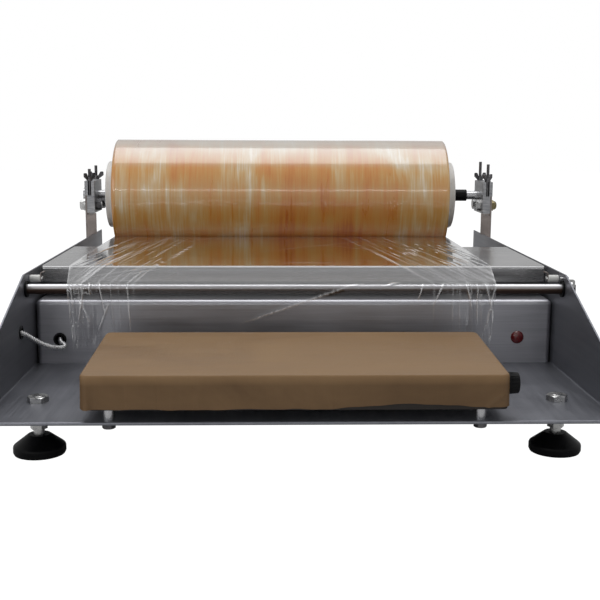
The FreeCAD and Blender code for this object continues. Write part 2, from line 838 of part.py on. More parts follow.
def bar_terminal_bracket():
    # A foot on the wall and a tab that stands out from it, with a hole for the lead's end.
    tab_front = bracket_y - bracket_thickness
    tab_side = wall_outer + bracket_width
    tab = box(wall_outer, tab_side, tab_front, bracket_y, bracket_bottom, bracket_top)
    tab = round_edges(tab, bracket_corner,
                      lambda edge: edge.BoundBox.XMin > tab_side - pick_margin and edge.BoundBox.ZLength < pick_margin)
    foot = box(wall_outer, wall_outer + bracket_thickness, tab_front, tab_front + bracket_foot_length,
               bracket_foot_bottom, bracket_foot_bottom + bracket_foot_height)
    tab_hole = V(wall_outer + bracket_hole_inset, tab_front - cut_over, bracket_top - bracket_hole_drop)
    foot_hole = V(wall_outer - cut_over, bracket_screw_y, bracket_screw_z)
    holes = [rod(tab_hole, REAR, bracket_hole, bracket_thickness + 2 * cut_over),
             rod(foot_hole, RIGHT, screw_hole(m3_diameter), bracket_thickness + 2 * cut_over)]
    return tab.fuse(foot).removeSplitter().cut(holes)


def wire_insulators():
    shapes = []
    for side in SIDES:
        outward = RIGHT * side
        start = V(side * (wall_inner - insulator_length), insulator_y, insulator_z)
        body = rod(start, outward, insulator_diameter, insulator_length)
        body = round_edges(body, edge_break, lambda edge: edge.BoundBox.XLength < pick_margin)
        shapes.append(body.cut(rod(start, outward, screw_hole(m3_diameter), insulator_length)))
    return group(shapes)


def insulator_screws():
    # A long screw with its nut through each insulator, and a short one through the bracket's foot.
    screws = []
    for side in SIDES:
        outward = RIGHT * side
        seat = V(side * (wall_inner - insulator_length - tag_thickness), insulator_y, insulator_z)
        length = tag_thickness + insulator_length + sheet + m3_nut_height + screw_slot
        screw = pan_head_screw(seat, outward, m3_diameter, m3_head, m3_head_height, length)
        nut = hex_prism(V(side * wall_outer, insulator_y, insulator_z), outward, m3_nut, m3_nut_height)
        screws.append(screw.fuse(nut).removeSplitter())
    seat = V(wall_outer + bracket_thickness, bracket_screw_y, bracket_screw_z)
    screws.append(pan_head_screw(seat, RIGHT * -1, m3_diameter, m3_head, m3_head_height, short_screw))
    return group(screws)


def terminal_tags():
    # A bent strip under each screw head: up along the insulator's end, then over towards the bar.
    face = wall_inner - insulator_length
    path = [(-face, insulator_z - tag_width / 2), (-face, insulator_z + tag_height),
            (-face + tag_hook, insulator_z + tag_height + tag_hook_rise)]
    strip = fold_along(path, insulator_y - tag_width / 2, insulator_y + tag_width / 2, -tag_thickness, tag_bend)
    hole_start = V(-face - cut_over, insulator_y, insulator_z)
    strip = strip.cut(rod(hole_start, RIGHT, screw_hole(m3_diameter), tag_thickness + 2 * cut_over))
    return group([strip, mirrored(strip)])


# Grommets, cable gland, conduit and lead
def grommet(face, inward, thickness):
    # The groove holds the sheet that lies between the face and one thickness further in.
    start = face - inward * grommet_flange_thickness
    length = thickness + 2 * grommet_flange_thickness
    body = ring(start, inward, grommet_flange, grommet_bore, length)
    return body.cut(ring(face, inward, grommet_flange + cut_over, grommet_groove, thickness))


def grommets():
    return group([grommet(conduit_panel_hole, REAR, box_sheet),
                  grommet(conduit_wall_hole, RIGHT, sheet),
                  grommet(lead_wall_hole, RIGHT * -1, sheet)])


def cable_gland():
    left = RIGHT * -1
    neck_start = gland_hole + left * gland_body_length
    nut_start = neck_start + left * gland_neck_length
    dome_start = nut_start + left * gland_nut_length
    dome_end = dome_start + left * gland_dome_length
    thread_length = sheet + box_side_gap + box_sheet + gland_thread_inside
    body = chamfered_hex(gland_hole, left, gland_hex, gland_body_length)
    body = body.fuse([rod(neck_start, left, gland_neck, gland_neck_length),
                      chamfered_hex(nut_start, left, gland_hex, gland_nut_length),
                      Part.makeCone(gland_neck / 2, gland_tip / 2, gland_dome_length, dome_start, left),
                      rod(gland_hole, RIGHT, gland_thread, thread_length)]).removeSplitter()
    # The seal in the nut grips the cord. Behind it the bore is wider.
    seal_length = gland_dome_length + gland_nut_length + gland_neck_length
    seal = rod(dome_end, RIGHT, gland_bore, seal_length)
    return body.cut([seal, rod(neck_start, RIGHT, gland_thread_bore, gland_body_length + thread_length)])


def conduit():
    return tube_along("conduit", conduit_route, conduit_diameter)


def bar_lead():
    return tube_along("bar lead", lead_route, lead_diameter)


# Hot plate
def plate_box(grow, bottom, top, rounding):
    # The plate's own outline grown by some distance on all four sides. Its upright corners are
    # rounded, and its upper edges too.
    shape = box(-plate_half - grow, plate_half + grow, -grow, plate_depth + grow, bottom, top)
    shape = round_edges(shape, plate_corner + grow, lambda edge: edge.BoundBox.ZLength > pick_margin)
    return round_edges(shape, rounding, lambda edge: edge.BoundBox.ZMin > top - pick_margin)


def spindle_hole(diameter):
    length = plate_shell + cloth_thickness + 2 * cut_over
    return rod(V(thermostat_end - cut_over, knob_inset, knob_height), RIGHT, diameter, length)


def housing_inside():
    return plate_box(-plate_shell, -cut_over, slab_top, plate_edge - plate_shell)


def hot_plate_housing():
    outer = plate_box(0, 0, plate_thickness, plate_edge)
    return on_plate(outer.cut([housing_inside(), spindle_hole(spindle_diameter + plate_shell)]))


def plate_layer(bottom, top):
    margin = plate_shell + 2 * plate_edge
    layer = box(-plate_half + margin, plate_half - margin, margin, plate_depth - margin, bottom, top)
    return on_plate(layer.cut(thermostat_space()))


def thermostat_space():
    return box(thermostat_end - thermostat_length, thermostat_end, knob_inset - thermostat_width / 2,
               knob_inset + thermostat_width / 2, knob_height - thermostat_height / 2,
               knob_height + thermostat_height / 2)


def heating_plate():
    return plate_layer(slab_bottom, slab_top)


def heating_element():
    return plate_layer(element_bottom, slab_bottom)


def insulation_pad():
    return plate_layer(plate_shell, element_bottom)


def plate_base():
    layer = box(-plate_half, plate_half, 0, plate_depth, 0, plate_shell)
    return on_plate(housing_inside().common(layer))


def thermostat_body():
    bore_start = V(thermostat_end - spindle_reach - cut_over, knob_inset, knob_height)
    bore = rod(bore_start, RIGHT, spindle_diameter + 2 * shaft_running_fit, thermostat_length)
    return on_plate(thermostat_space().cut(bore))


def thermostat_spindle():
    start = V(thermostat_end - spindle_reach, knob_inset, knob_height)
    return on_plate(rod(start, RIGHT, spindle_diameter, knob_start + knob_socket - start.x))


def thermostat_knob():
    start = V(knob_start, knob_inset, knob_height)
    end = knob_start + knob_length
    radius = knob_diameter / 2
    knob = Part.makeCone(radius, radius - knob_taper, knob_length, start, RIGHT)
    knob = round_edges(knob, edge_break, lambda edge: edge.BoundBox.XMin > end - pick_margin)
    cutters = [rod(start, RIGHT, spindle_diameter, knob_socket)]
    for i in range(knob_flutes):
        angle = 2 * math.pi * (i + 0.5) / knob_flutes
        place = start + V(knob_skirt, radius * math.cos(angle), radius * math.sin(angle))
        cutters.append(rod(place, RIGHT, 2 * knob_flute_radius, knob_length))
    cutters.append(box(end - knob_mark_depth, end, knob_inset - knob_mark_width / 2,
                       knob_inset + knob_mark_width / 2, knob_height + radius / 3, knob_height + radius))
    return on_plate(knob.cut(cutters))


def plate_cloth():
    # The sheet lies over the top and hangs down the four sides, open below.
    outer = plate_box(cloth_thickness, cloth_lower_edge, plate_thickness + cloth_thickness,
                      plate_edge + cloth_thickness)
    inner = plate_box(0, -cut_over, plate_thickness, plate_edge)
    return on_plate(outer.cut([inner, spindle_hole(spindle_diameter + 2 * plate_shell)]))


def standoffs():
    # Upright posts, each cut off along the tilted underside of the plate.
    below = on_plate(box(-plate_half, plate_half, -plate_depth, 2 * plate_depth, -plate_depth, 0))
    posts = []
    for x, y in standoff_places:
        post = rod(V(x, y, floor_top), UP, standoff_diameter, plate_thickness).common(below)
        posts.append(post.cut(rod(V(x, y, floor_top), UP, screw_hole(m6_diameter), standoff_thread_depth)))
    return group(posts)


def standoff_bolts():
    length = standoff_washer + sheet + standoff_thread_depth - edge_break
    shapes = []
    for x, y in standoff_places:
        seat = V(x, y, ground_gap - standoff_washer)
        shapes.append(hex_bolt(seat, UP, m6_diameter, m6_across_flats, m6_head_height, length))
        shapes.append(ring(seat, UP, standoff_washer_diameter, screw_hole(m6_diameter), standoff_washer))
    return group(shapes)


# Film roll
def film_roll():
    roll = ring(V(roll_left, axis_y, axis_z), RIGHT, roll_diameter, 2 * core_radius, roll_width)
    return round_edges(roll, edge_break, lambda edge: edge.BoundBox.XLength < pick_margin
                       and edge.BoundBox.YLength > 2 * core_radius + 1)


def roll_core():
    return ring(V(roll_left, axis_y, axis_z), RIGHT, 2 * core_radius, core_inner, roll_width)


def core_plug(side):
    # Built along Z with the end of the core at zero, then turned to its end of the roll.
    bore = shaft_diameter / 2 + shaft_running_fit
    spigot, rim, step = core_inner / 2, plug_rim / 2, plug_step / 2
    plug = turned_shape(
        [V(bore, 0, -plug_spigot_length), V(spigot, 0, -plug_spigot_length), V(spigot, 0, 0), V(rim, 0, 0),
         V(rim, 0, plug_rim_thickness), V(step, 0, plug_rim_thickness), V(step, 0, plug_reach),
         V(bore, 0, plug_reach)],
        [0, plug_rounding, 0, edge_break, edge_break, 0, plug_rounding, 0])
    web_top = plug_reach - plug_dish
    web_bottom = web_top - plug_shell
    dish = ring(V(0, 0, web_top), UP, plug_step - 4 * plug_shell, plug_hub, plug_dish + cut_over)
    hollow = ring(V(0, 0, -plug_spigot_length - cut_over), UP, core_inner - 2 * plug_shell, plug_hub,
                  plug_spigot_length + cut_over + web_bottom)
    ribs = []
    for i in range(plug_ribs):
        rib = box(plug_hub / 2 - cut_over, step, -plug_rib_thickness / 2, plug_rib_thickness / 2,
                  -plug_spigot_length - cut_over, plug_reach)
        rib.rotate(V(0, 0, 0), UP, 360 * i / plug_ribs)
        ribs.append(rib)
    plug = plug.cut([dish, hollow.cut(ribs)])
    end = roll_right if side > 0 else roll_left
    return placed(plug, V(end, axis_y, axis_z), RIGHT * side)


# Shaft with its collar and sleeve
def roll_shaft():
    left_end = -post_outer - collar_length
    length = post_outer - shaft_end_inset - left_end
    shaft = rod(V(left_end, axis_y, axis_z), RIGHT, shaft_diameter, length)
    return shaft.makeChamfer(shaft_chamfer, [edge for edge in shaft.Edges if edge.BoundBox.XLength < pick_margin])


def shaft_end_collar():
    return ring(V(-post_outer, axis_y, axis_z), RIGHT * -1, collar_diameter, shaft_diameter, collar_length)


def shaft_sleeve():
    start = V(roll_right + plug_reach + sleeve_gap, axis_y, axis_z)
    return ring(start, RIGHT, sleeve_diameter, shaft_diameter, sleeve_length)


# Posts and clamps. Each is built for the right side and mirrored for the left.
def both_sides(shape):
    return group([shape, mirrored(shape)])


def post_bolt_holes():
    start = wall_outer - cut_over
    return [rod(V(start, y, z), RIGHT, screw_hole(m8_diameter), 2 * post_standoff)
            for ys, z in ((post_bolt_ys, post_bolt_z), (clamp_bolt_ys, clamp_bolt_z)) for y in ys]


def roll_posts():
    # An angle whose short flange meets the wall. Above the wall the flange is as wide as the
    # block, and above the flange only the outer web goes on.
    path = [(wall_outer, block_front), (post_outer, block_front), (post_outer, block_rear)]
    post = fold_upright(path, floor_top + post_foot_height, axis_z, post_thickness, bend_radius)
    flange_inner = post_outer - post_flange_width
    flange_top = block_bottom - post_flange_drop
    tongue = box(flange_inner, wall_outer, block_front, block_front + post_thickness,
                 wall_top + post_wall_gap, flange_top)
    above = box(flange_inner, post_inner, block_front, block_rear, flange_top, axis_z)
    relief = box(flange_inner + post_relief_inset, post_inner, block_front, block_front + post_thickness,
                 flange_top - post_relief_height, flange_top)
    notch = rod(V(post_inner - cut_over, axis_y, axis_z), RIGHT, post_notch, post_thickness + 2 * cut_over)
    post = post.fuse(tongue).removeSplitter()
    return both_sides(post.cut([above, relief, notch] + post_bolt_holes()))


def clamp_blocks():
    block = box(block_inner, post_inner, block_front, block_rear, block_bottom, axis_z)
    block = round_edges(block, edge_break, lambda edge: edge.BoundBox.ZLength > block_height - pick_margin)
    cutters = [rod(V(block_inner, axis_y, axis_z), RIGHT, shaft_diameter, block_width)]
    cutters += [rod(V(block_inner, y, clamp_bolt_z), RIGHT, screw_hole(m8_diameter), block_width)
                for y in clamp_bolt_ys]
    cutters += [rod(V(clamp_x, y, axis_z - clamp_stud_depth), UP, clamp_stud, clamp_stud_depth) for y in stud_ys]
    return both_sides(block.cut(cutters))


def clamp_cap(side):
    # The cap lies over the block and over the post's web.
    cap = box(block_inner, cap_outer, block_front, block_rear, axis_z, cap_top)
    cap = round_edges(cap, edge_break,
                      lambda edge: edge.BoundBox.ZMin > cap_top - pick_margin
                      or edge.BoundBox.ZLength > cap_height - pick_margin)
    bore_start = V(block_inner, axis_y, axis_z)
    cutters = [rod(bore_start, RIGHT, shaft_diameter + 2 * cap_shaft_gap, post_outer - block_inner)]
    for y, end in zip(stud_ys, (block_front, block_rear)):
        cutters.append(rod(V(clamp_x, y, axis_z), UP, clamp_slot, cap_height))
        cutters.append(box(clamp_x - clamp_slot / 2, clamp_x + clamp_slot / 2, y, end, axis_z, cap_top))
    cap = cap.cut(cutters)
    return cap if side > 0 else mirrored(cap)


def clamp_studs():
    bottom = axis_z - clamp_stud_depth
    studs = []
    for name, (side, y, _) in wing_nuts.items():
        top = floor_top + clamp_stud_tops[name]
        stud = rod(V(side * clamp_x, y, bottom), UP, clamp_stud, top - bottom)
        rim = [edge for edge in stud.Edges if edge.BoundBox.ZMin > top - pick_margin]
        studs.append(stud.makeChamfer(edge_break / 2, rim))
    return group(studs)


def wing_nut(side, y, turn):
    tip = wing_span / 2
    outline = rounded_face(
        [V(0, 0, wing_lift), V(wing_hub / 2, 0, wing_lift), V(tip, 0, wing_height / 2), V(tip, 0, wing_height),
         V(wing_waist, 0, wing_height), V(wing_hub_top / 2, 0, wing_hub_height), V(0, 0, wing_hub_height)],
        [0] + [wing_rounding] * 5 + [0])
    outline.translate(V(0, -wing_thickness / 2, 0))
    wing = outline.extrude(V(0, wing_thickness, 0))
    hub = Part.makeCone(wing_hub / 2, wing_hub_top / 2, wing_hub_height)
    nut = hub.fuse([wing, mirrored(wing)]).removeSplitter()
    nut = nut.cut(rod(V(0, 0, 0), UP, clamp_stud + 2 * thread_clearance, wing_height))
    nut.rotate(V(0, 0, 0), UP, turn)
    nut.translate(V(side * clamp_x, y, cap_top))
    return nut


# Bolts, nuts, washers and spacers of the posts
def hex_bolt(seat, direction, diameter, across_flats, head_height, length):
    # The head stands behind the seat and the shank runs along the direction.
    head = chamfered_hex(seat, direction * -1, across_flats, head_height)
    return head.fuse(rod(seat, direction, diameter, length)).removeSplitter()


def m8_bolt(x, y, z, direction, length):
    return hex_bolt(V(x, y, z), direction, m8_diameter, m8_across_flats, m8_head_height, length)


def bracket_bolts_and_washers():
    wall_grip = sheet + post_standoff + post_thickness
    block_grip = block_width + post_thickness
    nut_length = m8_nut_height + m8_overhang
    bolts = [m8_bolt(side * post_outer, y, post_bolt_z, RIGHT * -side, wall_grip + nut_length)
             for side in SIDES for y in post_bolt_ys]
    for y in clamp_bolt_ys:
        bolts.append(m8_bolt(-post_outer - m8_washer, y, clamp_bolt_z, RIGHT, m8_washer + block_grip + nut_length))
        bolts.append(m8_bolt(block_inner, y, clamp_bolt_z, RIGHT, block_grip + cap_nut_bore_depth - edge_break))
        bolts.append(ring(V(-post_outer, y, clamp_bolt_z), RIGHT * -1, m8_washer_diameter,
                          screw_hole(m8_diameter), m8_washer))
    return group(bolts)


def m8_nut(x, y, z, direction):
    nut = chamfered_hex(V(x, y, z), direction, m8_across_flats, m8_nut_height)
    return nut.cut(rod(V(x, y, z), direction, screw_hole(m8_diameter), m8_nut_height))


def bracket_nuts():
    nuts = [m8_nut(side * wall_inner, y, post_bolt_z, RIGHT * -side) for side in SIDES for y in post_bolt_ys]
    nuts += [m8_nut(-block_inner, y, clamp_bolt_z, RIGHT) for y in clamp_bolt_ys]
    return group(nuts)


def cap_nuts():
    radius = cap_nut_dome_diameter / 2
    nuts = []
    for y in clamp_bolt_ys:
        seat = V(post_outer, y, clamp_bolt_z)
        dome = turned_shape([V(0, 0, 0), V(radius, 0, 0), V(radius, 0, cap_nut_height), V(0, 0, cap_nut_height)],
                            [0, 0, cap_nut_rounding, 0])
        nut = hex_prism(seat, RIGHT, m8_across_flats, cap_nut_hex_height).fuse(placed(dome, seat, RIGHT))
        nuts.append(nut.removeSplitter().cut(rod(seat, RIGHT, screw_hole(m8_diameter), cap_nut_bore_depth)))
    return group(nuts)


def post_spacers():
    return group([ring(V(side * wall_outer, y, post_bolt_z), RIGHT * side, spacer_diameter,
                       screw_hole(m8_diameter), post_standoff) for side in SIDES for y in post_bolt_ys])


# Film web: from the roll over the deck and the bar, then down in front of the box
def film_web():
    # The path is the film's lower side. The film clings to the roll, peels off its front at the
    # deck's height and runs level over the deck.
    roll_radius = roll_diameter / 2 + film_roll_gap + film_thickness
    peel_y = axis_y - math.sqrt(roll_radius ** 2 - (axis_z - wall_top) ** 2)
    # From the deck's front edge it falls to the top of the bar and turns straight down there.
    drop = math.atan2(wall_top - bar_z, deck_front - bar_y)
    span = math.hypot(wall_top - bar_z, deck_front - bar_y)
    fall = drop - math.asin(bar_radius / span)
    hang_y = bar_y - bar_radius
    turn_z = wall_top - (deck_front - hang_y) * math.tan(fall)
    path = [(peel_y, wall_top), (deck_front, wall_top), (hang_y, turn_z), (hang_y, floor_top + film_end_height)]
    bends = [bend_radius + sheet, bar_radius]
    face = folded_face(path, -film_thickness, bends, in_side_view)
    face.translate(V(film_offset - film_width / 2, 0, 0))
    return face.extrude(V(film_width, 0, 0))


# All pieces by node name
nodes = {
    "tray_pan": tray_pan(),
    "foot_nuts": foot_nuts(),
    "platform_deck": platform_deck(),
    "panel_screws": panel_screws(),
    "control_box_cover": control_box_cover(),
    "lamp_lens": lamp_lens_on_panel(),
    "lamp_body": lamp_body_in_panel(),
    "terminal_block": terminal_block(),
    "terminal_screws": terminal_screws(),
    "cutter_bar": cutter_bar(),
    "bar_heater_rod": bar_heater_rod(),
    "bar_bushes": bar_bushes(),
    "bar_terminal_bracket": bar_terminal_bracket(),
    "wire_insulators": wire_insulators(),
    "insulator_screws": insulator_screws(),
    "terminal_tags": terminal_tags(),
    "grommets": grommets(),
    "cable_gland": cable_gland(),
    "conduit": conduit(),
    "bar_lead": bar_lead(),
    "hot_plate_housing": hot_plate_housing(),
    "heating_plate": heating_plate(),
    "heating_element": heating_element(),
    "insulation_pad": insulation_pad(),
    "plate_base": plate_base(),
    "thermostat_body": thermostat_body(),
    "thermostat_spindle": thermostat_spindle(),
    "thermostat_knob": thermostat_knob(),
    "plate_cloth": plate_cloth(),
    "standoffs": standoffs(),
    "standoff_bolts": standoff_bolts(),
    "film_roll": film_roll(),
    "roll_core": roll_core(),
    "core_plug_left": core_plug(-1),
    "core_plug_right": core_plug(1),
    "roll_shaft": roll_shaft(),
    "shaft_end_collar": shaft_end_collar(),
    "shaft_sleeve": shaft_sleeve(),
    "roll_posts": roll_posts(),
    "post_spacers": post_spacers(),
    "bracket_bolts_and_washers": bracket_bolts_and_washers(),
    "bracket_nuts": bracket_nuts(),
    "cap_nuts": cap_nuts(),
    "clamp_blocks": clamp_blocks(),
    "clamp_studs": clamp_studs(),
    "clamp_cap_left": clamp_cap(-1),
    "clamp_cap_right": clamp_cap(1),
    "film_web": film_web(),
}
for name, place in foot_places.items():
    nodes[f"foot_pad_{name}"] = foot_pad(place)
    nodes[f"foot_stud_{name}"] = foot_stud_with_hex(place)
for name, (side, y, turn) in wing_nuts.items():
    nodes[f"wing_nut_{name}"] = wing_nut(side, y, turn)

os.makedirs("parts", exist_ok=True)
for name, shape in nodes.items():
    if not shape.isValid() or not shape.Solids:
        raise RuntimeError(f"{name} is not a valid solid")
    shape.exportStep(f"parts/{name}.step")
    print(f"{name}: {len(shape.Solids)} solids, {shape.Volume / 1000:.2f} cm3")
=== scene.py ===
# %% [markdown]
# # A cling film wrapper, dressed cell by cell
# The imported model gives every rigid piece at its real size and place. This lesson adds what a
# solid model can't show: brushed and plated metal, thin film with wrinkles, a coated cloth
# stretched over the sealing plate, and two flexible runs. Each step says what the real piece is
# and why it is made the way it is.

# %% Load the frame
import json
import math

import bmesh
import bpy
import numpy as np
from mathutils import Matrix, Vector


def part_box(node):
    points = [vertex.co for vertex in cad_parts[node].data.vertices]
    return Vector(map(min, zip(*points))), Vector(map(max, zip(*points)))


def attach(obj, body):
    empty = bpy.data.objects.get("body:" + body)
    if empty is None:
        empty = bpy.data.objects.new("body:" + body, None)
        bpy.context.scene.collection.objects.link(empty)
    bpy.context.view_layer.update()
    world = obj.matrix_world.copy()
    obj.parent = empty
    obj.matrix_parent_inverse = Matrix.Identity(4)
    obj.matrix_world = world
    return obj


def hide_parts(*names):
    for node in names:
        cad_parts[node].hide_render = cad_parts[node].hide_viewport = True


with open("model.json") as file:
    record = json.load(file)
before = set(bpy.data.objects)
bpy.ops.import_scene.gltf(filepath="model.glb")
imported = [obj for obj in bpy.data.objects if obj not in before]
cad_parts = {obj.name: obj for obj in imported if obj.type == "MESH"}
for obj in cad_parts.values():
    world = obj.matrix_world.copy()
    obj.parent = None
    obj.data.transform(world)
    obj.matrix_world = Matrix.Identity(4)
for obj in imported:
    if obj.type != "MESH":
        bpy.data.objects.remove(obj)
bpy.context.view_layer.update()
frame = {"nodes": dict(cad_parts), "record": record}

nodes = frame["nodes"]
scene = bpy.context.scene
scene.view_settings.view_transform = "Standard"

# %% [markdown]
# The camera stands about 1.15 m from the middle of the machine, slightly to the left, looking ten
# degrees down. The 60 mm lens on a 36 mm sensor is assumed, and the machine's depth goes with it.
# The viewing direction is written as three angles, which give the camera's axes.

# %% Camera
camera_place = Vector((-0.0252, -1.14485, 0.2887))
pitch, yaw, roll = (math.radians(angle) for angle in (9.6, 1.66, 0.26))
lens, sensor = 60, 36


def make_camera():
    ahead = Vector((math.sin(yaw) * math.cos(pitch), math.cos(yaw) * math.cos(pitch),
                    -math.sin(pitch)))
    right = Vector((math.cos(yaw), -math.sin(yaw), 0))
    up = right.cross(ahead)
    tilted_right = math.cos(roll) * right + math.sin(roll) * up
    tilted_up = -math.sin(roll) * right + math.cos(roll) * up
    camera = bpy.data.objects.new("camera", bpy.data.cameras.new("camera"))
    camera.data.lens = lens
    camera.data.sensor_width = sensor
    camera.data.clip_start = 0.01
    camera.matrix_world = Matrix((tilted_right, tilted_up, -ahead)).transposed().to_4x4()
    camera.location = camera_place
    scene.collection.objects.link(camera)
    scene.camera = camera


make_camera()

# %% [markdown]
# A piece has its place in its points, so that its object stays at the origin as the model's own
# nodes do. `finished` gives it a material and a body to ride on, and hides the nodes it replaces.

# %% Helpers for pieces
def new_mesh(name, points, faces, smooth=True):
    mesh = bpy.data.meshes.new(name)
    mesh.from_pydata([tuple(point) for point in points], [], faces)
    mesh.update()
    mesh.polygons.foreach_set("use_smooth", [smooth] * len(mesh.polygons))
    piece = bpy.data.objects.new(name, mesh)
    scene.collection.objects.link(piece)
    return piece


def finished(piece, body, material, replaced=()):
    piece.data.materials.clear()
    piece.data.materials.append(material)
    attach(piece, body)
    if replaced:
        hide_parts(*replaced)
    return piece


def evaluated_mesh(piece):
    bpy.context.view_layer.update()
    evaluated = piece.evaluated_get(bpy.context.evaluated_depsgraph_get())
    return bpy.data.meshes.new_from_object(evaluated)


def applied(piece):
    # The same piece as a plain mesh, with its modifiers used up.
    name, mesh = piece.name, evaluated_mesh(piece)
    bpy.data.objects.remove(piece)
    mesh.name = name
    result = bpy.data.objects.new(name, mesh)
    scene.collection.objects.link(result)
    return result


def middle_of(node):
    low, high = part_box(node)
    return (low + high) / 2


def cleaned(piece, merge_within=None):
    # Points that fall together become one, and every face is turned outwards.
    mesh = bmesh.new()
    mesh.from_mesh(piece.data)
    if merge_within:
        bmesh.ops.remove_doubles(mesh, verts=mesh.verts, dist=merge_within)
    bmesh.ops.recalc_face_normals(mesh, faces=mesh.faces)
    mesh.to_mesh(piece.data)
    mesh.free()
    return piece


def grid_faces(rows, columns, close_columns=False):
    faces = []
    for row in range(rows - 1):
        for column in range(columns if close_columns else columns - 1):
            after = (column + 1) % columns
            faces.append((row * columns + column, row * columns + after,
                          (row + 1) * columns + after, (row + 1) * columns + column))
    return faces


# %% [markdown]
# Shader maths as ordinary Python. `Value` wraps the output of a node, and its operators add Math
# nodes, so a mask can be written as `1 - streaks * 0.5`. `NodeTree` adds any node with its settings
# and inputs, and `Finish` builds one material on it.

# %% Shader maths
class Value:
    def __init__(self, finish, socket):
        self.finish = finish
        self.socket = socket

    def using(self, operation, *values):
        node = self.finish.add("ShaderNodeMath", {"operation": operation}, dict(enumerate(values)))
        return Value(self.finish, node.outputs[0])


# Plus, minus and times, with a number on either side.
for sign, operation in (("add", "ADD"), ("sub", "SUBTRACT"), ("mul", "MULTIPLY")):
    setattr(Value, f"__{sign}__", lambda self, other, kind=operation: self.using(kind, self, other))
    setattr(Value, f"__r{sign}__", lambda self, other, kind=operation: self.using(kind, other, self))


class NodeTree:
    def __init__(self, tree):
        self.tree = tree
        tree.nodes.clear()

    def add(self, kind, settings=None, inputs=None):
        node = self.tree.nodes.new(kind)
        for key, value in (settings or {}).items():
            if key == "stops":
                ramp = node.color_ramp
                while len(ramp.elements) < len(value):
                    ramp.elements.new(0.5)
                for element, (place, colour) in zip(ramp.elements, value):
                    element.position = place
                    element.color = (*colour, 1)
            else:
                setattr(node, key, value)
        for key, value in (inputs or {}).items():
            self.set(node, key, value)
        return node

    def set(self, node, key, value):
        socket = node.inputs[key]
        if isinstance(value, Value):
            value = value.socket
        if isinstance(value, bpy.types.NodeSocket):
            self.tree.links.new(value, socket)
        elif socket.type == "RGBA" and len(value) == 3:
            socket.default_value = (*value, 1)
        else:
            socket.default_value = value


class Finish(NodeTree):
    def __init__(self, name):
        self.material = bpy.data.materials.new(name)
        self.material.use_nodes = True
        super().__init__(self.material.node_tree)
        self.surface = self.add("ShaderNodeBsdfPrincipled")
        self.output = self.add("ShaderNodeOutputMaterial", {}, {0: self.surface.outputs[0]})

    def shade(self, **inputs):
        for key, value in inputs.items():
            self.set(self.surface, key.replace("_", " "), value)

    def place(self, scale=(1, 1, 1), turn=(0, 0, 0), move=(0, 0, 0)):
        # Object coordinates, turned, moved and then scaled.
        source = self.add("ShaderNodeTexCoord").outputs["Object"]
        mapping = self.add("ShaderNodeMapping", {"vector_type": "POINT"},
                           {"Vector": source, "Scale": scale, "Rotation": turn, "Location": move})
        return mapping.outputs[0]

    def noise(self, scale=(1, 1, 1), detail=3.0, rough=0.55, warp=0.0, turn=(0, 0, 0),
              move=(0, 0, 0)):
        node = self.add("ShaderNodeTexNoise", {"noise_dimensions": "3D"},
                        {"Vector": self.place(scale, turn, move), "Scale": 1.0, "Detail": detail,
                         "Roughness": rough, "Distortion": warp})
        return Value(self, node.outputs[0])

    def ramp(self, value, stops):
        node = self.add("ShaderNodeValToRGB", {"stops": stops}, {0: value})
        return node.outputs[0]

    def spread(self, value, low, high, to_low=0.0, to_high=1.0):
        # A value stretched from one range to another, and kept inside it.
        node = self.add("ShaderNodeMapRange", {"clamp": True},
                        {"Value": value, "From Min": low, "From Max": high,
                         "To Min": to_low, "To Max": to_high})
        return Value(self, node.outputs[0])

    def mix(self, share, first, second, blend="MIX"):
        node = self.add("ShaderNodeMix", {"data_type": "RGBA", "blend_type": blend},
                        {0: share, 6: first, 7: second})
        return node.outputs[2]

    def axes(self):
        source = self.add("ShaderNodeTexCoord").outputs["Object"]
        node = self.add("ShaderNodeSeparateXYZ", {}, {0: source})
        return [Value(self, output) for output in node.outputs]

    def bump(self, height, strength, distance, before=None):
        inputs = {"Height": height, "Strength": strength, "Distance": distance}
        if before is not None:
            inputs["Normal"] = before
        return self.add("ShaderNodeBump", {}, inputs).outputs[0]


# %% [markdown]
# Stainless sheet is ground with a belt, which leaves long fine scratches in one direction. On
# the machine they run from side to side on the deck and the box, and from front to rear on the
# tray. A noise that is squeezed across the grain and stretched along it gives the scratches, a
# broad soft noise gives the handling marks, and both change the roughness more than the colour,
# because that is how ground metal shows them.

# %% Ground sheet
def ground_sheet(name, grain, dark, light, rough, relief=0.1):
    finish = Finish(name)
    across, along = 900, 14
    scale = (along, across, across) if grain == "x" else (across, along, across)
    scratches = finish.noise(scale, detail=4, rough=0.7)
    broad = finish.noise((along / 3 if grain == "x" else 160, 160 if grain == "x" else along / 3, 160),
                         detail=3, rough=0.6, move=(3, 1, 2))
    marks = finish.noise((7, 7, 9), detail=5, rough=0.62, warp=0.6)
    tone = scratches * 0.45 + broad * 0.3 + marks * 0.25
    finish.shade(**{
        "Base Color": finish.mix(finish.spread(tone, 0.34, 0.66), dark, light),
        "Metallic": 0.85,
        "Roughness": rough + finish.spread(scratches, 0.3, 0.7, -0.05, 0.07)
        + finish.spread(marks, 0.35, 0.7, -0.04, 0.09),
        "Normal": finish.bump(scratches + broad * 0.2, relief, 0.0002),
    })
    return finish.material


tray_sheet = ground_sheet("tray_sheet", "y", (0.14, 0.145, 0.165), (0.225, 0.23, 0.256), 0.4)
deck_sheet = ground_sheet("deck_sheet", "x", (0.235, 0.235, 0.24), (0.345, 0.345, 0.35), 0.22, 0.05)
box_sheet = ground_sheet("box_sheet", "x", (0.33, 0.33, 0.357), (0.49, 0.49, 0.523), 0.36)
# Painted shade: the plate's housing, which shows only in shadow under the cloth, is made nearly black.
baked_sheet = ground_sheet("baked_sheet", "x", (0.02, 0.018, 0.017), (0.045, 0.04, 0.036), 0.5)

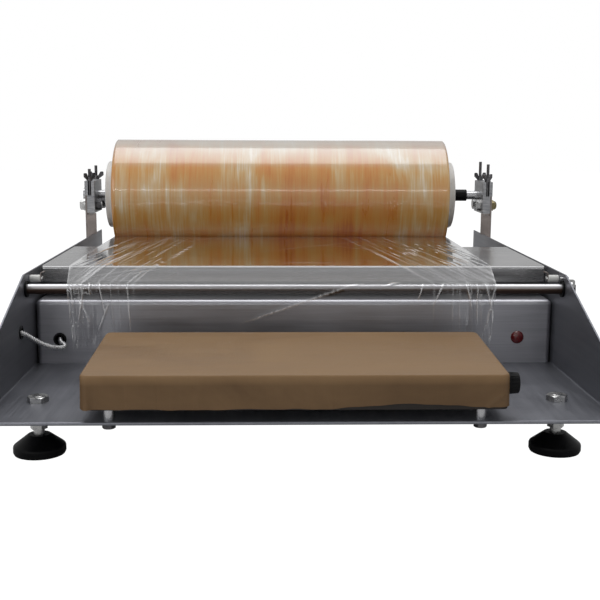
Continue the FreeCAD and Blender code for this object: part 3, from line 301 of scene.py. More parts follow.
# %% [markdown]
# Turned, milled and plated pieces. Zinc plate is bright with a faint mottling. Milled aluminium
# keeps the arcs of the cutter as thin lines. Rolled steel has soft dark stains. One function
# makes them all from a colour pair, a pattern size and a roughness.

# %% Plated and machined metal
def plain_metal(name, dark, light, rough, size=(90, 90, 90), bump=0.05, metallic=0.9):
    finish = Finish(name)
    mottle = finish.noise(size, detail=5, rough=0.65, warp=0.4)
    fine = finish.noise((1300, 1300, 1300), detail=2, rough=0.6)
    finish.shade(**{
        "Base Color": finish.mix(finish.spread(mottle, 0.3, 0.7), dark, light),
        "Metallic": metallic,
        "Roughness": rough + finish.spread(mottle, 0.3, 0.7, -0.06, 0.1) + fine * 0.04,
        "Normal": finish.bump(fine, bump, 0.0002),
    })
    return finish.material


zinc = plain_metal("zinc_plate", (0.34, 0.34, 0.34), (0.6, 0.6, 0.59), 0.24)
steel = plain_metal("rolled_steel", (0.2, 0.17, 0.16), (0.34, 0.3, 0.28), 0.34, (30, 30, 60))
shaft_steel = plain_metal("turned_steel", (0.32, 0.32, 0.33), (0.52, 0.52, 0.53), 0.22, (900, 20, 20))
dark_steel = plain_metal("dark_plate", (0.05, 0.05, 0.055), (0.14, 0.135, 0.14), 0.32)
milled = plain_metal("milled_aluminium", (0.2, 0.205, 0.22), (0.42, 0.42, 0.43), 0.34, (60, 60, 500), 0.15)
brass = plain_metal("plain_brass", (0.12, 0.1, 0.05), (0.3, 0.25, 0.14), 0.34)

# %% [markdown]
# The hot wire bar is a steel tube with a brown non-stick layer. Its upper side is painted pale,
# a painted highlight: the layer's colour fades towards the top of the tube, which is a mask made
# from the height in the tube's own place.

# %% Cutter bar finish
def bar_finish():
    finish = Finish("bar_layer")
    low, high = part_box("cutter_bar")
    z = finish.axes()[2]
    streaks = finish.noise((30, 700, 700), detail=4, rough=0.7)
    # Painted highlight: the top of the bar is mixed towards pale grey by height.
    painted_highlight_top = finish.spread(z + streaks * 0.0012, low.z + 0.0058, high.z - 0.0006)
    finish.shade(**{
        "Base Color": finish.mix(painted_highlight_top, (0.07, 0.045, 0.035), (0.62, 0.62, 0.64)),
        "Metallic": 0.8,
        "Roughness": 0.36 - painted_highlight_top * 0.1 + streaks * 0.1,
        "Normal": finish.bump(streaks, 0.15, 0.0002),
    })
    return finish.material


bar_layer = bar_finish()

# %% [markdown]
# Moulded plastic and rubber have a fine pebbled skin from the mould. Its bumps are a fraction of
# a millimetre, which shows as a soft edge on the highlights rather than as a pattern.

# %% Moulded plastic and rubber
def moulded(name, colour, worn, rough, pebble=0.12, shine=0.5):
    finish = Finish(name)
    skin = finish.noise((1600, 1600, 1600), detail=2, rough=0.5)
    scuffs = finish.noise((60, 60, 60), detail=5, rough=0.7, warp=1.0)
    finish.shade(**{
        "Base Color": finish.mix(finish.spread(scuffs, 0.5, 0.75), colour, worn),
        "Roughness": rough + finish.spread(scuffs, 0.4, 0.7, -0.03, 0.08),
        "Specular IOR Level": shine,
        "Normal": finish.bump(skin, pebble, 0.0003),
    })
    return finish.material


black_plastic = moulded("black_moulding", (0.003, 0.003, 0.0035), (0.007, 0.007, 0.008), 0.45, shine=0.12)
white_plastic = moulded("white_moulding", (0.7, 0.7, 0.68), (0.6, 0.59, 0.57), 0.35)
black_rubber = moulded("black_rubber", (0.006, 0.006, 0.007), (0.013, 0.013, 0.013), 0.5, 0.2, 0.2)
board = moulded("wound_board", (0.4, 0.28, 0.16), (0.32, 0.22, 0.12), 0.8, 0.4)
fibre = moulded("mineral_fibre", (0.62, 0.58, 0.42), (0.5, 0.45, 0.32), 0.95, 0.8)
tinted = plain_metal("heat_tinted_strip", (0.14, 0.1, 0.08), (0.3, 0.24, 0.2), 0.45)

# %% [markdown]
# Every rigid node keeps its shape and gets the finish of its slot. A few nodes share a slot but
# not a direction of grain, so they are named one by one after the general rule. The material goes
# on the object and not on its mesh, which stays as it was packed.

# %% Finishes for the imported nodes
finish_of_slot = {
    "stainless_sheet": tray_sheet, "zinc_steel": zinc, "steel": steel, "dark_steel": dark_steel,
    "conduit_steel": zinc, "dark_bar": bar_layer, "aluminium": milled, "element": tinted,
    "insulation": fibre, "brass": brass, "red_lens": black_plastic, "black_plastic": black_plastic,
    "white_plastic": white_plastic, "black_rubber": black_rubber, "brown_cloth": black_rubber,
    "core_board": board, "amber_film": board, "clear_film": white_plastic,
}
finish_of_node = {
    "platform_deck": deck_sheet, "control_box_cover": box_sheet, "hot_plate_housing": baked_sheet,
    "roll_shaft": shaft_steel, "shaft_end_collar": shaft_steel, "standoffs": shaft_steel,
    "clamp_studs": dark_steel, "standoff_bolts": dark_steel,
    **{f"wing_nut_{side}_{end}": dark_steel for side in ("left", "right") for end in ("front", "rear")},
}


def dress(node, material):
    piece = nodes[node]
    if not piece.material_slots:
        piece.data.materials.append(material)
    for place in piece.material_slots:
        place.link = "OBJECT"
        place.material = material


for part in frame["record"]["subparts"]:
    dress(part["node"], finish_of_node.get(part["node"], finish_of_slot[part["material_slot"]]))

# %% [markdown]
# Wound film looks like polished amber although the film itself is clear: light goes through
# hundreds of layers and comes back tinted. Where the turns lie loose there is air between them
# and the roll is cream, where they lie tight it is orange. Such patches are a few centimetres
# wide and run a little way round the roll, with faint threads over them. The top of the roll is
# painted paler and milky, a painted sheen, and its bottom is painted darker and redder, a painted
# shade. A clear coat gives the glassy highlight.

# %% Amber film finish
roll_low, roll_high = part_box("film_roll")


def amber_finish():
    finish = Finish("wound_film")
    patches = finish.noise((17, 11, 11), detail=2, rough=0.45, warp=0.5, move=(4.1, 1.3, 2.2))
    bands = finish.noise((58, 8, 8), detail=4, rough=0.55, warp=0.4, move=(1.7, 0.4, 0.2))
    threads = finish.noise((420, 16, 16), detail=3, rough=0.6, warp=0.2)
    tone = patches * 0.46 + bands * 0.32 + threads * 0.22
    colour = finish.ramp(finish.spread(tone, 0.36, 0.64), [
        (0.0, (0.5, 0.125, 0.01)), (0.26, (0.6, 0.22, 0.025)), (0.52, (0.61, 0.3, 0.06)),
        (0.76, (0.65, 0.44, 0.2)), (1.0, (0.8, 0.7, 0.55))])
    z = finish.axes()[2]
    # Painted sheen: the top of the roll is mixed towards a pale milky colour by height.
    painted_top_sheen = finish.spread(z + patches * 0.02, roll_high.z - 0.028, roll_high.z + 0.004)
    colour = finish.mix(painted_top_sheen * 0.8, colour, (0.36, 0.345, 0.32))
    # Painted shade: the bottom of the roll is multiplied darker and redder by height.
    colour = finish.mix(finish.spread(z, roll_low.z + 0.014, roll_low.z + 0.036, 0.9, 0.0), colour,
                        (1.0, 0.7, 0.6), "MULTIPLY")
    slack = finish.noise((8, 70, 70), detail=3, rough=0.6, move=(2.2, 0.1, 3.0))
    ripple = finish.noise((300, 30, 30), detail=3, rough=0.6)
    finish.shade(**{
        "Base Color": colour,
        "Roughness": finish.spread(bands, 0.3, 0.7, 0.26, 0.38),
        "Coat Weight": finish.spread(tone, 0.38, 0.62, 0.45, 1.0),
        "Coat Roughness": 0.1,
        "Coat IOR": 1.7,
        "IOR": 1.7,
        "Normal": finish.bump(slack * 0.7 + ripple * 0.5, 0.22, 0.0006),
    })
    return finish.material


amber = amber_finish()

# %% [markdown]
# The roll is one lathed form: the film's outer face, two end faces where the edges of the turns
# stand at slightly different depths, and the bore that sits on the core. A profile turned about
# the axis gives that shape exactly, and because the profile is made from numbers, the end faces
# can get their thin steps. The profile is listed once and revolved in small angles.

# %% Film roll
roll_centre = middle_of("film_roll")
roll_radius = (roll_high.z - roll_low.z) / 2
core_low, core_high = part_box("roll_core")
core_radius = (core_high.z - core_low.z) / 2
rng = np.random.default_rng(7)


def roll_profile():
    # Points of distance along the axis and radius, from the bore's left end round to its right end.
    edge, step = 0.0012, 0.0008
    layers = np.linspace(core_radius, roll_radius - edge, 26)
    left = [(roll_low.x + depth, radius)
            for radius, depth in zip(layers, rng.uniform(0, step, len(layers)))]
    right = [(roll_high.x - depth, radius)
             for radius, depth in zip(layers, rng.uniform(0, step, len(layers)))]
    along = np.linspace(roll_low.x + edge, roll_high.x - edge, 150)
    slow = np.convolve(rng.normal(0, 1, 190), np.ones(41) / 41, "valid")
    face = [(x, roll_radius - 0.00025 + 0.0002 * np.clip(slow[i] * 3, -1, 1))
            for i, x in enumerate(along)]
    return left + face + right[::-1]


def turned_about_roll(name, profile, steps):
    points = []
    for x, radius in profile:
        for i in range(steps):
            angle = 2 * math.pi * i / steps
            points.append((x, roll_centre.y + radius * math.cos(angle),
                           roll_centre.z + radius * math.sin(angle)))
    faces = grid_faces(len(profile), steps, close_columns=True)
    last = (len(profile) - 1) * steps
    faces += [(last + i, last + (i + 1) % steps, (i + 1) % steps, i) for i in range(steps)]
    return new_mesh(name, points, faces)


film_roll = turned_about_roll("wound_film_roll", roll_profile(), 128)
finished(film_roll, "roll", amber, ["film_roll"])
print("film roll", len(film_roll.data.polygons), "faces, radius", round(roll_radius, 4))

# %% [markdown]
# Clear film is a faint mirror: looked at straight it lets nearly all light through, and at a low
# angle it reflects half of it, which is why the film on the deck shows an image of the roll. The
# finish is therefore a mirror whose opacity grows with the Fresnel share. Creases scatter light and
# show as white threads. The strong ones are in the sheet's form and painted on it as an attribute.
# The fine parallel ones, which a pulled film has near its edges, come from a stretched noise
# under a second attribute, and crumpled spots from a noise without direction under a third.

# %% Clear film finish
def film_finish():
    finish = Finish("clear_film")
    painted = {}
    for name in ("crease", "gather", "crumple"):
        node = finish.add("ShaderNodeAttribute", {"attribute_name": name})
        painted[name] = Value(finish, node.outputs["Fac"])
    threads = finish.noise((800, 7, 7), detail=2, rough=0.5, turn=(0, 0, 0.07))
    more = finish.noise((620, 6, 6), detail=2, rough=0.5, turn=(0, 0, -0.09), move=(5, 3, 1))
    thread = (finish.spread(threads, 0.6, 0.72) + finish.spread(more, 0.62, 0.74)) * painted["gather"]
    crushed = finish.noise((210, 120, 130), detail=3, rough=0.6, warp=1.5)
    spark = finish.spread(crushed, 0.57, 0.67) * painted["crumple"]
    mark = finish.spread(painted["crease"] + thread * 0.7 + spark, 0.0, 1.0)
    waves = finish.noise((38, 22, 30), detail=1, rough=0.4, warp=0.3)
    share = Value(finish, finish.add("ShaderNodeFresnel", {}, {"IOR": 1.5}).outputs[0])
    finish.shade(**{
        "Base Color": finish.mix(mark, (0.86, 0.86, 0.87), (0.9, 0.91, 0.93)),
        "Metallic": 1 - mark * 0.85,
        "Roughness": 0.09 + mark * 0.2,
        "Alpha": finish.spread(share * 1.2 + share * share * 2.0 + mark * 0.75, 0.0, 1.0),
        "Normal": finish.bump(waves + thread * 0.4 + spark * 0.5, 0.1, 0.0012),
    })
    return finish.material


film_clear = film_finish()

# %% [markdown]
# The film comes up round the front of the roll, clings to it, and peels off level with the deck.
# It crosses the gap behind the deck, lies on the deck, falls to the cutter bar and hangs in front
# of the control box. Past the deck it is pulled narrower, and the pull gathers its edges. The
# sheet is a grid along that path, with columns close together near the edges where the creases
# are, and wider apart in the flat middle.

# %% Film path and width
deck_low, deck_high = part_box("platform_deck")
bar_low, bar_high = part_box("cutter_bar")
web_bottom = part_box("film_web")[0].z
bar_centre = middle_of("cutter_bar")
bar_radius = (bar_high.z - bar_low.z) / 2
film_lift = 0.0006


def film_path():
    # Points of y and z, from the roll to the free end, every two millimetres or so.
    reach = roll_radius + 0.0009
    top = deck_high.z + film_lift
    peel = math.degrees(math.asin((roll_centre.z - top) / reach))
    corners = [(roll_centre.y - reach * math.cos(a), roll_centre.z - reach * math.sin(a))
               for a in np.radians(np.linspace(peel + 12, peel, 8))]
    hang_y = bar_centre.y - bar_radius - film_lift
    corners.append((deck_low.y, top))
    around_bar = bar_radius + film_lift
    corners += [(bar_centre.y + around_bar * math.cos(a), bar_centre.z + around_bar * math.sin(a))
                for a in np.radians(np.linspace(99, 180, 10))]
    corners.append((hang_y, web_bottom))
    points = []
    for (y0, z0), (y1, z1) in zip(corners, corners[1:]):
        steps = max(1, round(math.hypot(y1 - y0, z1 - z0) / 0.0022))
        points += [(y0 + (y1 - y0) * i / steps, z0 + (z1 - z0) * i / steps) for i in range(steps)]
    return np.array(points + [corners[-1]])


path = film_path()
travel = np.concatenate([[0], np.cumsum(np.hypot(*np.diff(path, axis=0).T))])
film_length = float(travel[-1])


def travel_at(y, z):
    # The distance travelled at the point of the path nearest to a place.
    return float(travel[np.argmin(np.hypot(path[:, 0] - y, path[:, 1] - z))])


deck_start = travel_at(deck_high.y, deck_high.z)
deck_end = travel_at(deck_low.y, deck_high.z)
bar_at = travel_at(bar_centre.y, bar_high.z)
stations = [0, deck_start, deck_end, bar_at, film_length]
left_edge = np.interp(travel, stations, [-0.2355, -0.2375, -0.238, -0.229, -0.2235])
right_edge = np.interp(travel, stations, [0.2115, 0.211, 0.2085, 0.2015, 0.1945])
columns = np.concatenate([np.linspace(0, 0.2, 120), np.linspace(0.2, 0.73, 90)[1:-1],
                          np.linspace(0.73, 1, 175)])
# The place across of every point of the grid, and its share of the width from the nearer edge.
across = left_edge[:, None] + (right_edge - left_edge)[:, None] * columns[None, :]
from_edge = np.minimum(columns, 1 - columns)[None, :]
print("film length", round(film_length, 4), "deck", round(deck_start, 3), "to", round(deck_end, 3),
      "bar at", round(bar_at, 3))

# %% [markdown]
# A crease is a thin ridge that follows the pull in the film. On the deck the pull leans outwards
# a little, on the deck's front edge it leans more, and below the bar the film hangs straight. So
# a crease near an edge has one number for its place across, to which the pull is added, and two
# for where along the film it starts and ends. A few long flat ones cross the middle freely and
# are given by their two ends. Every ridge is painted as well, a little narrower than it is.

# %% Creases
crumple_width, gather_width, bright_edge = 0.045, 0.1, 0.0025


def pulled_creases(rng):
    # side, place across, start, end, half width, height, whiteness
    creases = []
    # count, and the ranges of start, place, length, half width, height and whiteness
    right_groups = [
        (40, (-0.02, deck_end - 0.06), (0.065, 0.195), (0.08, 0.24), (0.0007, 0.001),
         (0.0002, 0.0006), (0.2, 0.75)),
        (26, (0.1, 0.22), (0.08, 0.19), (0.015, 0.05), (0.0008, 0.0011), (0.0004, 0.0008), None),
        (24, (deck_end - 0.05, bar_at + 0.01), (0.1, 0.17), (0.03, 0.07), (0.0007, 0.001),
         (0.0002, 0.0006), (0.2, 0.7))]
    for count, starts, places, lengths, sizes, heights, whites in right_groups:
        for i in range(count):
            begin = rng.uniform(*starts)
            creases.append((1, rng.uniform(*places), begin, begin + rng.uniform(*lengths),
                            rng.uniform(*sizes), rng.uniform(*heights),
                            rng.uniform(*whites) if whites else 1.0))
    for i in range(62):
        begin = rng.uniform(-0.01, bar_at - 0.04)
        creases.append((-1, -0.235 + 0.1 * rng.uniform(0, 1) ** 1.2 + 0.03, begin,
                        begin + rng.uniform(0.05, 0.16), rng.uniform(0.0007, 0.001),
                        rng.uniform(0.0002, 0.0007), rng.uniform(0.2, 0.8)))
    return creases


def free_creases():
    # x and travel of the start, the same of the end, half width, height, whiteness
    across_middle = [(-0.19, 0.05, 0.2, 0.015), (-0.05, 0.2, 0.114, 0.056), (-0.016, 0.29, 0.06, 0.288),
                     (-0.13, 0.31, -0.215, 0.355), (-0.14, 0.325, -0.2, 0.362), (0.04, 0.12, 0.13, 0.2)]
    hanging = [(0.066, 0.374, -0.057, 0.418), (0.128, 0.374, 0.122, 0.394), (0.182, 0.372, 0.183, 0.42),
               (0.2, 0.378, 0.191, 0.428), (0.104, 0.372, 0.09, 0.378), (-0.187, 0.395, -0.2, 0.43),
               (-0.212, 0.378, -0.219, 0.425), (-0.225, 0.372, -0.222, 0.44), (-0.207, 0.372, -0.206, 0.388),
               (0.17, 0.374, 0.178, 0.404), (0.189, 0.37, 0.199, 0.412), (0.15, 0.372, 0.137, 0.4),
               (-0.198, 0.37, -0.191, 0.41), (-0.218, 0.39, -0.206, 0.418)]
    return ([(*ends, 0.0012, 0.0003, 0.3) for ends in across_middle]
            + [(*ends, 0.001, 0.0011, 0.85) for ends in hanging])


def pull(side):
    # How far outwards the pull has carried a crease at each row of the film.
    stations = [0, deck_end, bar_at, film_length]
    if side > 0:
        return np.interp(travel, stations, [0, 0.046, 0.072, 0.072])
    return np.interp(travel, stations, [0, -0.036, -0.05, -0.046])


def crease_relief():
    # The height of the ridges and their whiteness, one number for each point of the grid.
    along = travel[:, None]
    height, white = np.zeros(across.shape), np.zeros(across.shape)

    def press(aside, inside, size, tall, strength):
        fade = np.sin(np.pi * np.clip(inside, 0, 1))
        height[:] += tall * fade * np.exp(-(aside / size) ** 2)
        white[:] = np.maximum(white, strength * np.sqrt(fade) * np.exp(-(aside / (0.65 * size)) ** 2))

    for side, start, begin, end, size, tall, strength in pulled_creases(np.random.default_rng(21)):
        drawn = start + pull(side)[:, None]
        press(across - drawn, (along - begin) / (end - begin), size, tall, strength)
    for x0, s0, x1, s1, size, tall, strength in free_creases():
        length = math.hypot(x1 - x0, s1 - s0)
        dx, ds = (x1 - x0) / length, (s1 - s0) / length
        press((across - x0) * ds - (along - s0) * dx,
              ((across - x0) * dx + (along - s0) * ds) / length, size, tall, strength)
    return height, white


def hanging_folds():
    # Depth of the folds in the free end: crumpled at both sides, nearly flat in the middle.
    fallen = np.clip((travel[:, None] - bar_at - 0.004) / 0.06, 0, 1)
    bunch = np.exp(-(from_edge / crumple_width) ** 2)
    left = columns[None, :] < 0.5
    along = travel[:, None] - bar_at
    wave = (np.sin(from_edge * 260 + along * 35 + left * 1.7)
            + 0.6 * np.sin(from_edge * 141 - along * 90 + left)
            + 0.35 * np.sin(from_edge * 520 + along * 190))
    slow = np.sin(columns[None, :] * 19 + along * 12) + 0.5 * np.sin(columns[None, :] * 43 + 1.0)
    return fallen * (0.0032 * wave * bunch + 0.0006 * slow)


# %% Film sheet
def outward_of(path):
    # The direction square to the path on the side away from the roll's axis and the deck.
    tangent = np.gradient(path, axis=0)
    tangent /= np.hypot(*tangent.T)[:, None]
    return np.stack([tangent[:, 1], -tangent[:, 0]], axis=1)


def film_sheet():
    (ridges, white), folds = crease_relief(), hanging_folds()
    outward = outward_of(path)
    bottom = np.clip((travel - bar_at) / (film_length - bar_at), 0, 1)[:, None] ** 3
    ragged = 0.0035 * np.sin(columns * 23 + 0.6) + 0.003 * np.sin(columns * 71) + 0.0065
    points = np.zeros((len(path), len(columns), 3))
    points[:, :, 0] = across
    lift = ridges + folds
    points[:, :, 1] = path[:, 0:1] + outward[:, 0:1] * lift
    points[:, :, 2] = path[:, 1:2] + outward[:, 1:2] * lift + bottom * ragged[None, :]
    faces = [face[::-1] for face in grid_faces(len(path), len(columns))]
    sheet = new_mesh("film_sheet", points.reshape(-1, 3), faces)
    hanging = (travel[:, None] > bar_at + 0.004) * np.ones(across.shape)
    crease = white + 0.4 * np.exp(-(from_edge / bright_edge) ** 2)
    gather = np.exp(-(from_edge / gather_width) ** 2) * np.where(hanging > 0, 0.25, 0.6)
    crumple = hanging * np.exp(-(from_edge / crumple_width) ** 2)
    for name, values in (("crease", crease), ("gather", gather), ("crumple", crumple)):
        layer = sheet.data.attributes.new(name, "FLOAT", "POINT")
        layer.data.foreach_set("value", np.clip(values, 0, 1).astype(np.float32).ravel())
    return sheet


film_piece = film_sheet()
finished(film_piece, "frame", film_clear, ["film_web"])
print("film sheet", len(film_piece.data.polygons), "faces")

# %% [markdown]
# The sealing plate stands tilted by three degrees. Everything on it is made in the plate's own
# frame, where it lies level, and is then tilted with it, so one function turns a place on the
# plate into a place in the scene.

# %% Plate frame
housing_low, housing_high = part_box("hot_plate_housing")
plate_tilt = math.radians(3.0)
plate_size = Vector((0.36, 0.145, 0.03))
plate_middle = (housing_low.x + housing_high.x) / 2
plate_front = housing_low.y + plate_size.z * math.sin(plate_tilt)
plate_under = housing_low.z


def on_plate(x, y, z):
    # x from the plate's middle, y from its front edge, z from its underside.
    return (plate_middle + x, plate_front + y * math.cos(plate_tilt) - z * math.sin(plate_tilt),
            plate_under + y * math.sin(plate_tilt) + z * math.cos(plate_tilt))

# %% [markdown]
# The sealing plate wears a glass cloth with a brown slippery coating. It is pulled over the edges
# and tucked down, so its top is flat, its edges are softly rounded, its sides ripple a little and
# its lower edge is not quite straight. At the corners the spare cloth is folded over. The finish
# is a fine plain weave, a satin surface and slow changes of tone from heat. The sides are painted
# darker than the top, a painted shade, so the colour also follows the height on the plate.

# %% Coated cloth finish
def cloth_finish():
    finish = Finish("coated_cloth")
    x, y, z = finish.axes()
    weave = (x * 5200.0).using("SINE") * ((y + z) * 5200.0).using("SINE")
    stains = finish.noise((7, 12, 12), detail=4, rough=0.6, warp=0.8)
    along = finish.noise((12, 520, 520), detail=3, rough=0.6)
    across = finish.noise((520, 14, 14), detail=3, rough=0.6)
    tone = stains * 0.5 + along * 0.28 + across * 0.22
    height = (z - plate_under) * math.cos(plate_tilt) - (y - plate_front) * math.sin(plate_tilt)
    side = finish.spread(height, 0.0215, 0.0298, 1.0, 0.0)
    end = finish.spread((x - plate_middle).using("ABSOLUTE"), 0.172, 0.1805)
    worn = finish.spread(end * 0.75 + stains * 0.4 - side * 0.2, 0.5, 1.1)
    # Painted highlight: a lighter strip along the left corner fold of the sides.
    painted_fold_highlight = finish.spread((x - plate_middle + 0.1765).using("ABSOLUTE"), 0.0015, 0.0045, 0.75, 0.0) * side
    colour = finish.mix(finish.spread(tone, 0.34, 0.66), (0.112, 0.053, 0.019), (0.18, 0.09, 0.036))
    # Painted shade: the sides are multiplied darker than the top.
    colour = finish.mix(side, colour, (0.33, 0.28, 0.21), "MULTIPLY")
    colour = finish.mix(painted_fold_highlight, colour, (0.22, 0.145, 0.08))
    wrinkles = finish.noise((5, 60, 60), detail=3, rough=0.5, warp=0.6, move=(1, 2, 5))
    hanging = finish.noise((75, 6, 12), detail=2, rough=0.5, warp=0.4, move=(3, 0, 1)) * side
    pressed = finish.spread((y - plate_front - 0.098 + stains * 0.004).using("ABSOLUTE"),
                            0.0, 0.0012, 1.0, 0.0)
    finish.shade(**{
        "Base Color": finish.mix(worn, colour, (0.27, 0.17, 0.085)),
        "Specular IOR Level": 0.2,
        "Roughness": finish.spread(stains, 0.3, 0.7, 0.34, 0.5),
        "Normal": finish.bump(weave * 0.2 + along * 0.6 + across * 0.5, 0.3, 0.0003,
                              finish.bump(wrinkles + hanging * 1.6 + pressed * 0.16, 0.3, 0.0025)),
    })
    return finish.material


brown_cloth = cloth_finish()

# %% [markdown]
# The cover is built of rings that go once round the plate's outline: from the free lower edge up
# the sides, over the rounded edge and in across the top, which one face closes. Each ring has the
# same number of points, so neighbours are joined as a grid. The ripples and folds move the points
# of the sides outwards.

# %% Cloth over the plate
cloth_gap = 0.0004
edge_radius = 0.0022
plate_corner = 0.006


def ring_point(share):
    # A point on the plate's outline, walked round once, with its outward direction.
    half, depth, radius = plate_size.x / 2 + cloth_gap, plate_size.y, plate_corner + cloth_gap
    y0, y1 = -cloth_gap, depth + cloth_gap
    corners = [(half - radius, y0 + radius, -90), (half - radius, y1 - radius, 0),
               (-half + radius, y1 - radius, 90), (-half + radius, y0 + radius, 180)]
    pieces = []
    for i, (cx, cy, start) in enumerate(corners):
        nx, ny, _ = corners[(i + 1) % 4]
        pieces.append(("arc", cx, cy, start, radius * math.pi / 2))
        pieces.append(("line", cx, cy, nx, ny, start + 90, math.hypot(nx - cx, ny - cy)))
    total = sum(piece[-1] for piece in pieces)
    left = (share % 1.0) * total
    for piece in pieces:
        if left <= piece[-1]:
            break
        left -= piece[-1]
    if piece[0] == "arc":
        angle = math.radians(piece[3] + 90 * left / piece[-1])
        out = Vector((math.cos(angle), math.sin(angle)))
        return Vector((piece[1], piece[2])) + out * radius, out
    angle = math.radians(piece[5])
    out = Vector((math.cos(angle), math.sin(angle)))
    start, end = Vector(piece[1:3]), Vector(piece[3:5])
    return start + (end - start) * (left / piece[-1]) + out * radius, out


def ripple(share, height, place):
    # Ripples of the hanging cloth, none at the top edge and more towards the free edge. They only
    # stand outwards, because the plate is behind them. At the front corners the spare cloth is
    # folded over, which leaves an upright fold on the left and a slanting one on the right.
    slack = np.clip(1 - height / plate_size.z, 0, 1)
    turn = share * 2 * math.pi
    waves = 0.0009 + 0.0003 * math.sin(turn * 19 + 0.7) + 0.0003 * math.sin(turn * 43 + 1.9)
    folds = 0.0
    if place.y < 0.004:
        folds = 0.0022 * math.exp(-((place.x + 0.1745) / 0.0028) ** 2) * (0.35 + slack)
        folds += 0.0024 * math.exp(-((place.x - 0.159 - height * 1.3) / 0.0026) ** 2) * (height < 0.014)
    return slack * (waves + 0.0003 * math.sin(turn * 7 + 2.3) + folds)


def lower_edge(share, place):
    # Nearly straight, but drawn up by a few millimetres on the right half of the front.
    turn = share * 2 * math.pi
    drawn_up = 0.0042 * math.exp(-((place.x - 0.105) / 0.062) ** 2) * (place.y < 0.03)
    return (drawn_up + 0.0008 + 0.0004 * math.sin(turn * 9 + 0.4) + 0.0003 * math.sin(turn * 23 + 1.1)
            + 0.0001 * math.sin(turn * 51))


def cloth_cover():
    around, rows, edge_rows = 720, 14, 6
    outline = [(i / around, *ring_point(i / around)) for i in range(around)]
    points = []
    for row in range(rows):
        for share, place, out in outline:
            low = lower_edge(share, place)
            height = low + (plate_size.z - edge_radius - low) * row / (rows - 1)
            place = place + out * ripple(share, height, place)
            points.append(on_plate(place.x, place.y, height))
    for row in range(1, edge_rows + 1):
        angle = math.radians(90 * row / edge_rows)
        for share, place, out in outline:
            place = place - out * (edge_radius * (1 - math.cos(angle)))
            points.append(on_plate(place.x, place.y,
                                   plate_size.z + cloth_gap - edge_radius * (1 - math.sin(angle))))
    insets = ((0.012, 0.00005), (0.03, 0.00015), (0.055, 0.0002))
    for inset, sag in insets:
        for share, place, out in outline:
            x = max(min(place.x, plate_size.x / 2 - inset), -plate_size.x / 2 + inset)
            y = max(min(place.y, plate_size.y - inset), inset)
            points.append(on_plate(x, y, plate_size.z + cloth_gap + 0.0001 + sag))
    total_rows = rows + edge_rows + len(insets)
    faces = grid_faces(total_rows, around, close_columns=True)
    last = (total_rows - 1) * around
    faces.append(tuple(last + i for i in range(around)))
    return cleaned(new_mesh("plate_cloth_cover", points, faces), merge_within=0.00002)


cloth_piece = cloth_cover()
finished(cloth_piece, "frame", brown_cloth, ["plate_cloth"])
print("cloth cover", len(cloth_piece.data.polygons), "faces")

# %% [markdown]
# The pilot lamp's lens is a cut cap: rows of small flat facets that meet at sharp edges and
# scatter the light of the lamp behind it. It is built as rings of points that turn by half a
# step from row to row, joined by triangles and left unsmoothed.

# %% Lamp lens
def red_glass():
    finish = Finish("red_lens")
    depth = finish.noise((400, 400, 400), detail=2)
    finish.shade(**{
        "Base Color": finish.mix(depth, (0.03, 0.001, 0.002), (0.24, 0.005, 0.007)),
        "Roughness": 0.12 + depth * 0.08,
        "Coat Weight": 0.8,
        "Coat Roughness": 0.05,
    })
    return finish.material


def lamp_lens():
    low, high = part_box("lamp_lens")
    middle = (low + high) / 2
    radius, proud = (high.x - low.x) / 2, high.y - low.y
    # share of the radius and of the height of each ring
    rows = [(1.0, 0.0), (0.97, 0.32), (0.8, 0.66), (0.52, 0.9), (0.22, 1.0)]
    count = 14
    points = []
    for i, (size, out) in enumerate(rows):
        for k in range(count):
            angle = 2 * math.pi * (k + 0.5 * (i % 2)) / count
            points.append((middle.x + radius * size * math.cos(angle), high.y - proud * out,
                           middle.z + radius * size * math.sin(angle)))
    points.append((middle.x, low.y, middle.z))
    faces = []
    for i in range(len(rows) - 1):
        for k in range(count):
            a, b = i * count + k, i * count + (k + 1) % count
            c, d = a + count, b + count
            faces += [(a, b, c), (b, d, c)] if i % 2 == 0 else [(a, d, c), (a, b, d)]
    tip, last = len(points) - 1, (len(rows) - 1) * count
    faces += [(last + k, last + (k + 1) % count, tip) for k in range(count)]
    faces.append(tuple(reversed(range(count))))
    return cleaned(new_mesh("faceted_lens", points, faces, smooth=False))


finished(lamp_lens(), "frame", red_glass(), ["lamp_lens"])

# %% [markdown]
# Two flexible runs are cords: a ribbed steel conduit and the bar's black lead. Their routes are
# the same points as in the part's source. A spline of order three through them as control points
# gives one smooth line. The lead is that spline with a round section. The conduit is wound from
# a strip, so it is a plain tube with a rib every two millimetres.

# %% Routes
conduit_route = [
    (-0.2450, -0.11725, 0.0740), (-0.2435, -0.12825, 0.0730), (-0.2368, -0.13675, 0.0716),
    (-0.2350, -0.14725, 0.0708), (-0.2425, -0.15875, 0.0730), (-0.2540, -0.16775, 0.0795),
    (-0.2660, -0.17795, 0.0913), (-0.2745, -0.18035, 0.0949), (-0.2774, -0.18125, 0.1015),
    (-0.2779, -0.17825, 0.1100), (-0.2773, -0.17225, 0.1180), (-0.2757, -0.16475, 0.1245),
    (-0.2744, -0.15805, 0.1286),
]
lead_route = [
    (0.2787, -0.15765, 0.1370), (0.2788, -0.15725, 0.1310), (0.2800, -0.15575, 0.1250),
    (0.2810, -0.15125, 0.1175), (0.2815, -0.14325, 0.1100), (0.2817, -0.13325, 0.1030),
    (0.2817, -0.12225, 0.0980), (0.2817, -0.11125, 0.0940), (0.2811, -0.10225, 0.0916),
    (0.2780, -0.09625, 0.0907), (0.2715, -0.09435, 0.0905), (0.2650, -0.09435, 0.0905),
]
cord_diameter = 0.005


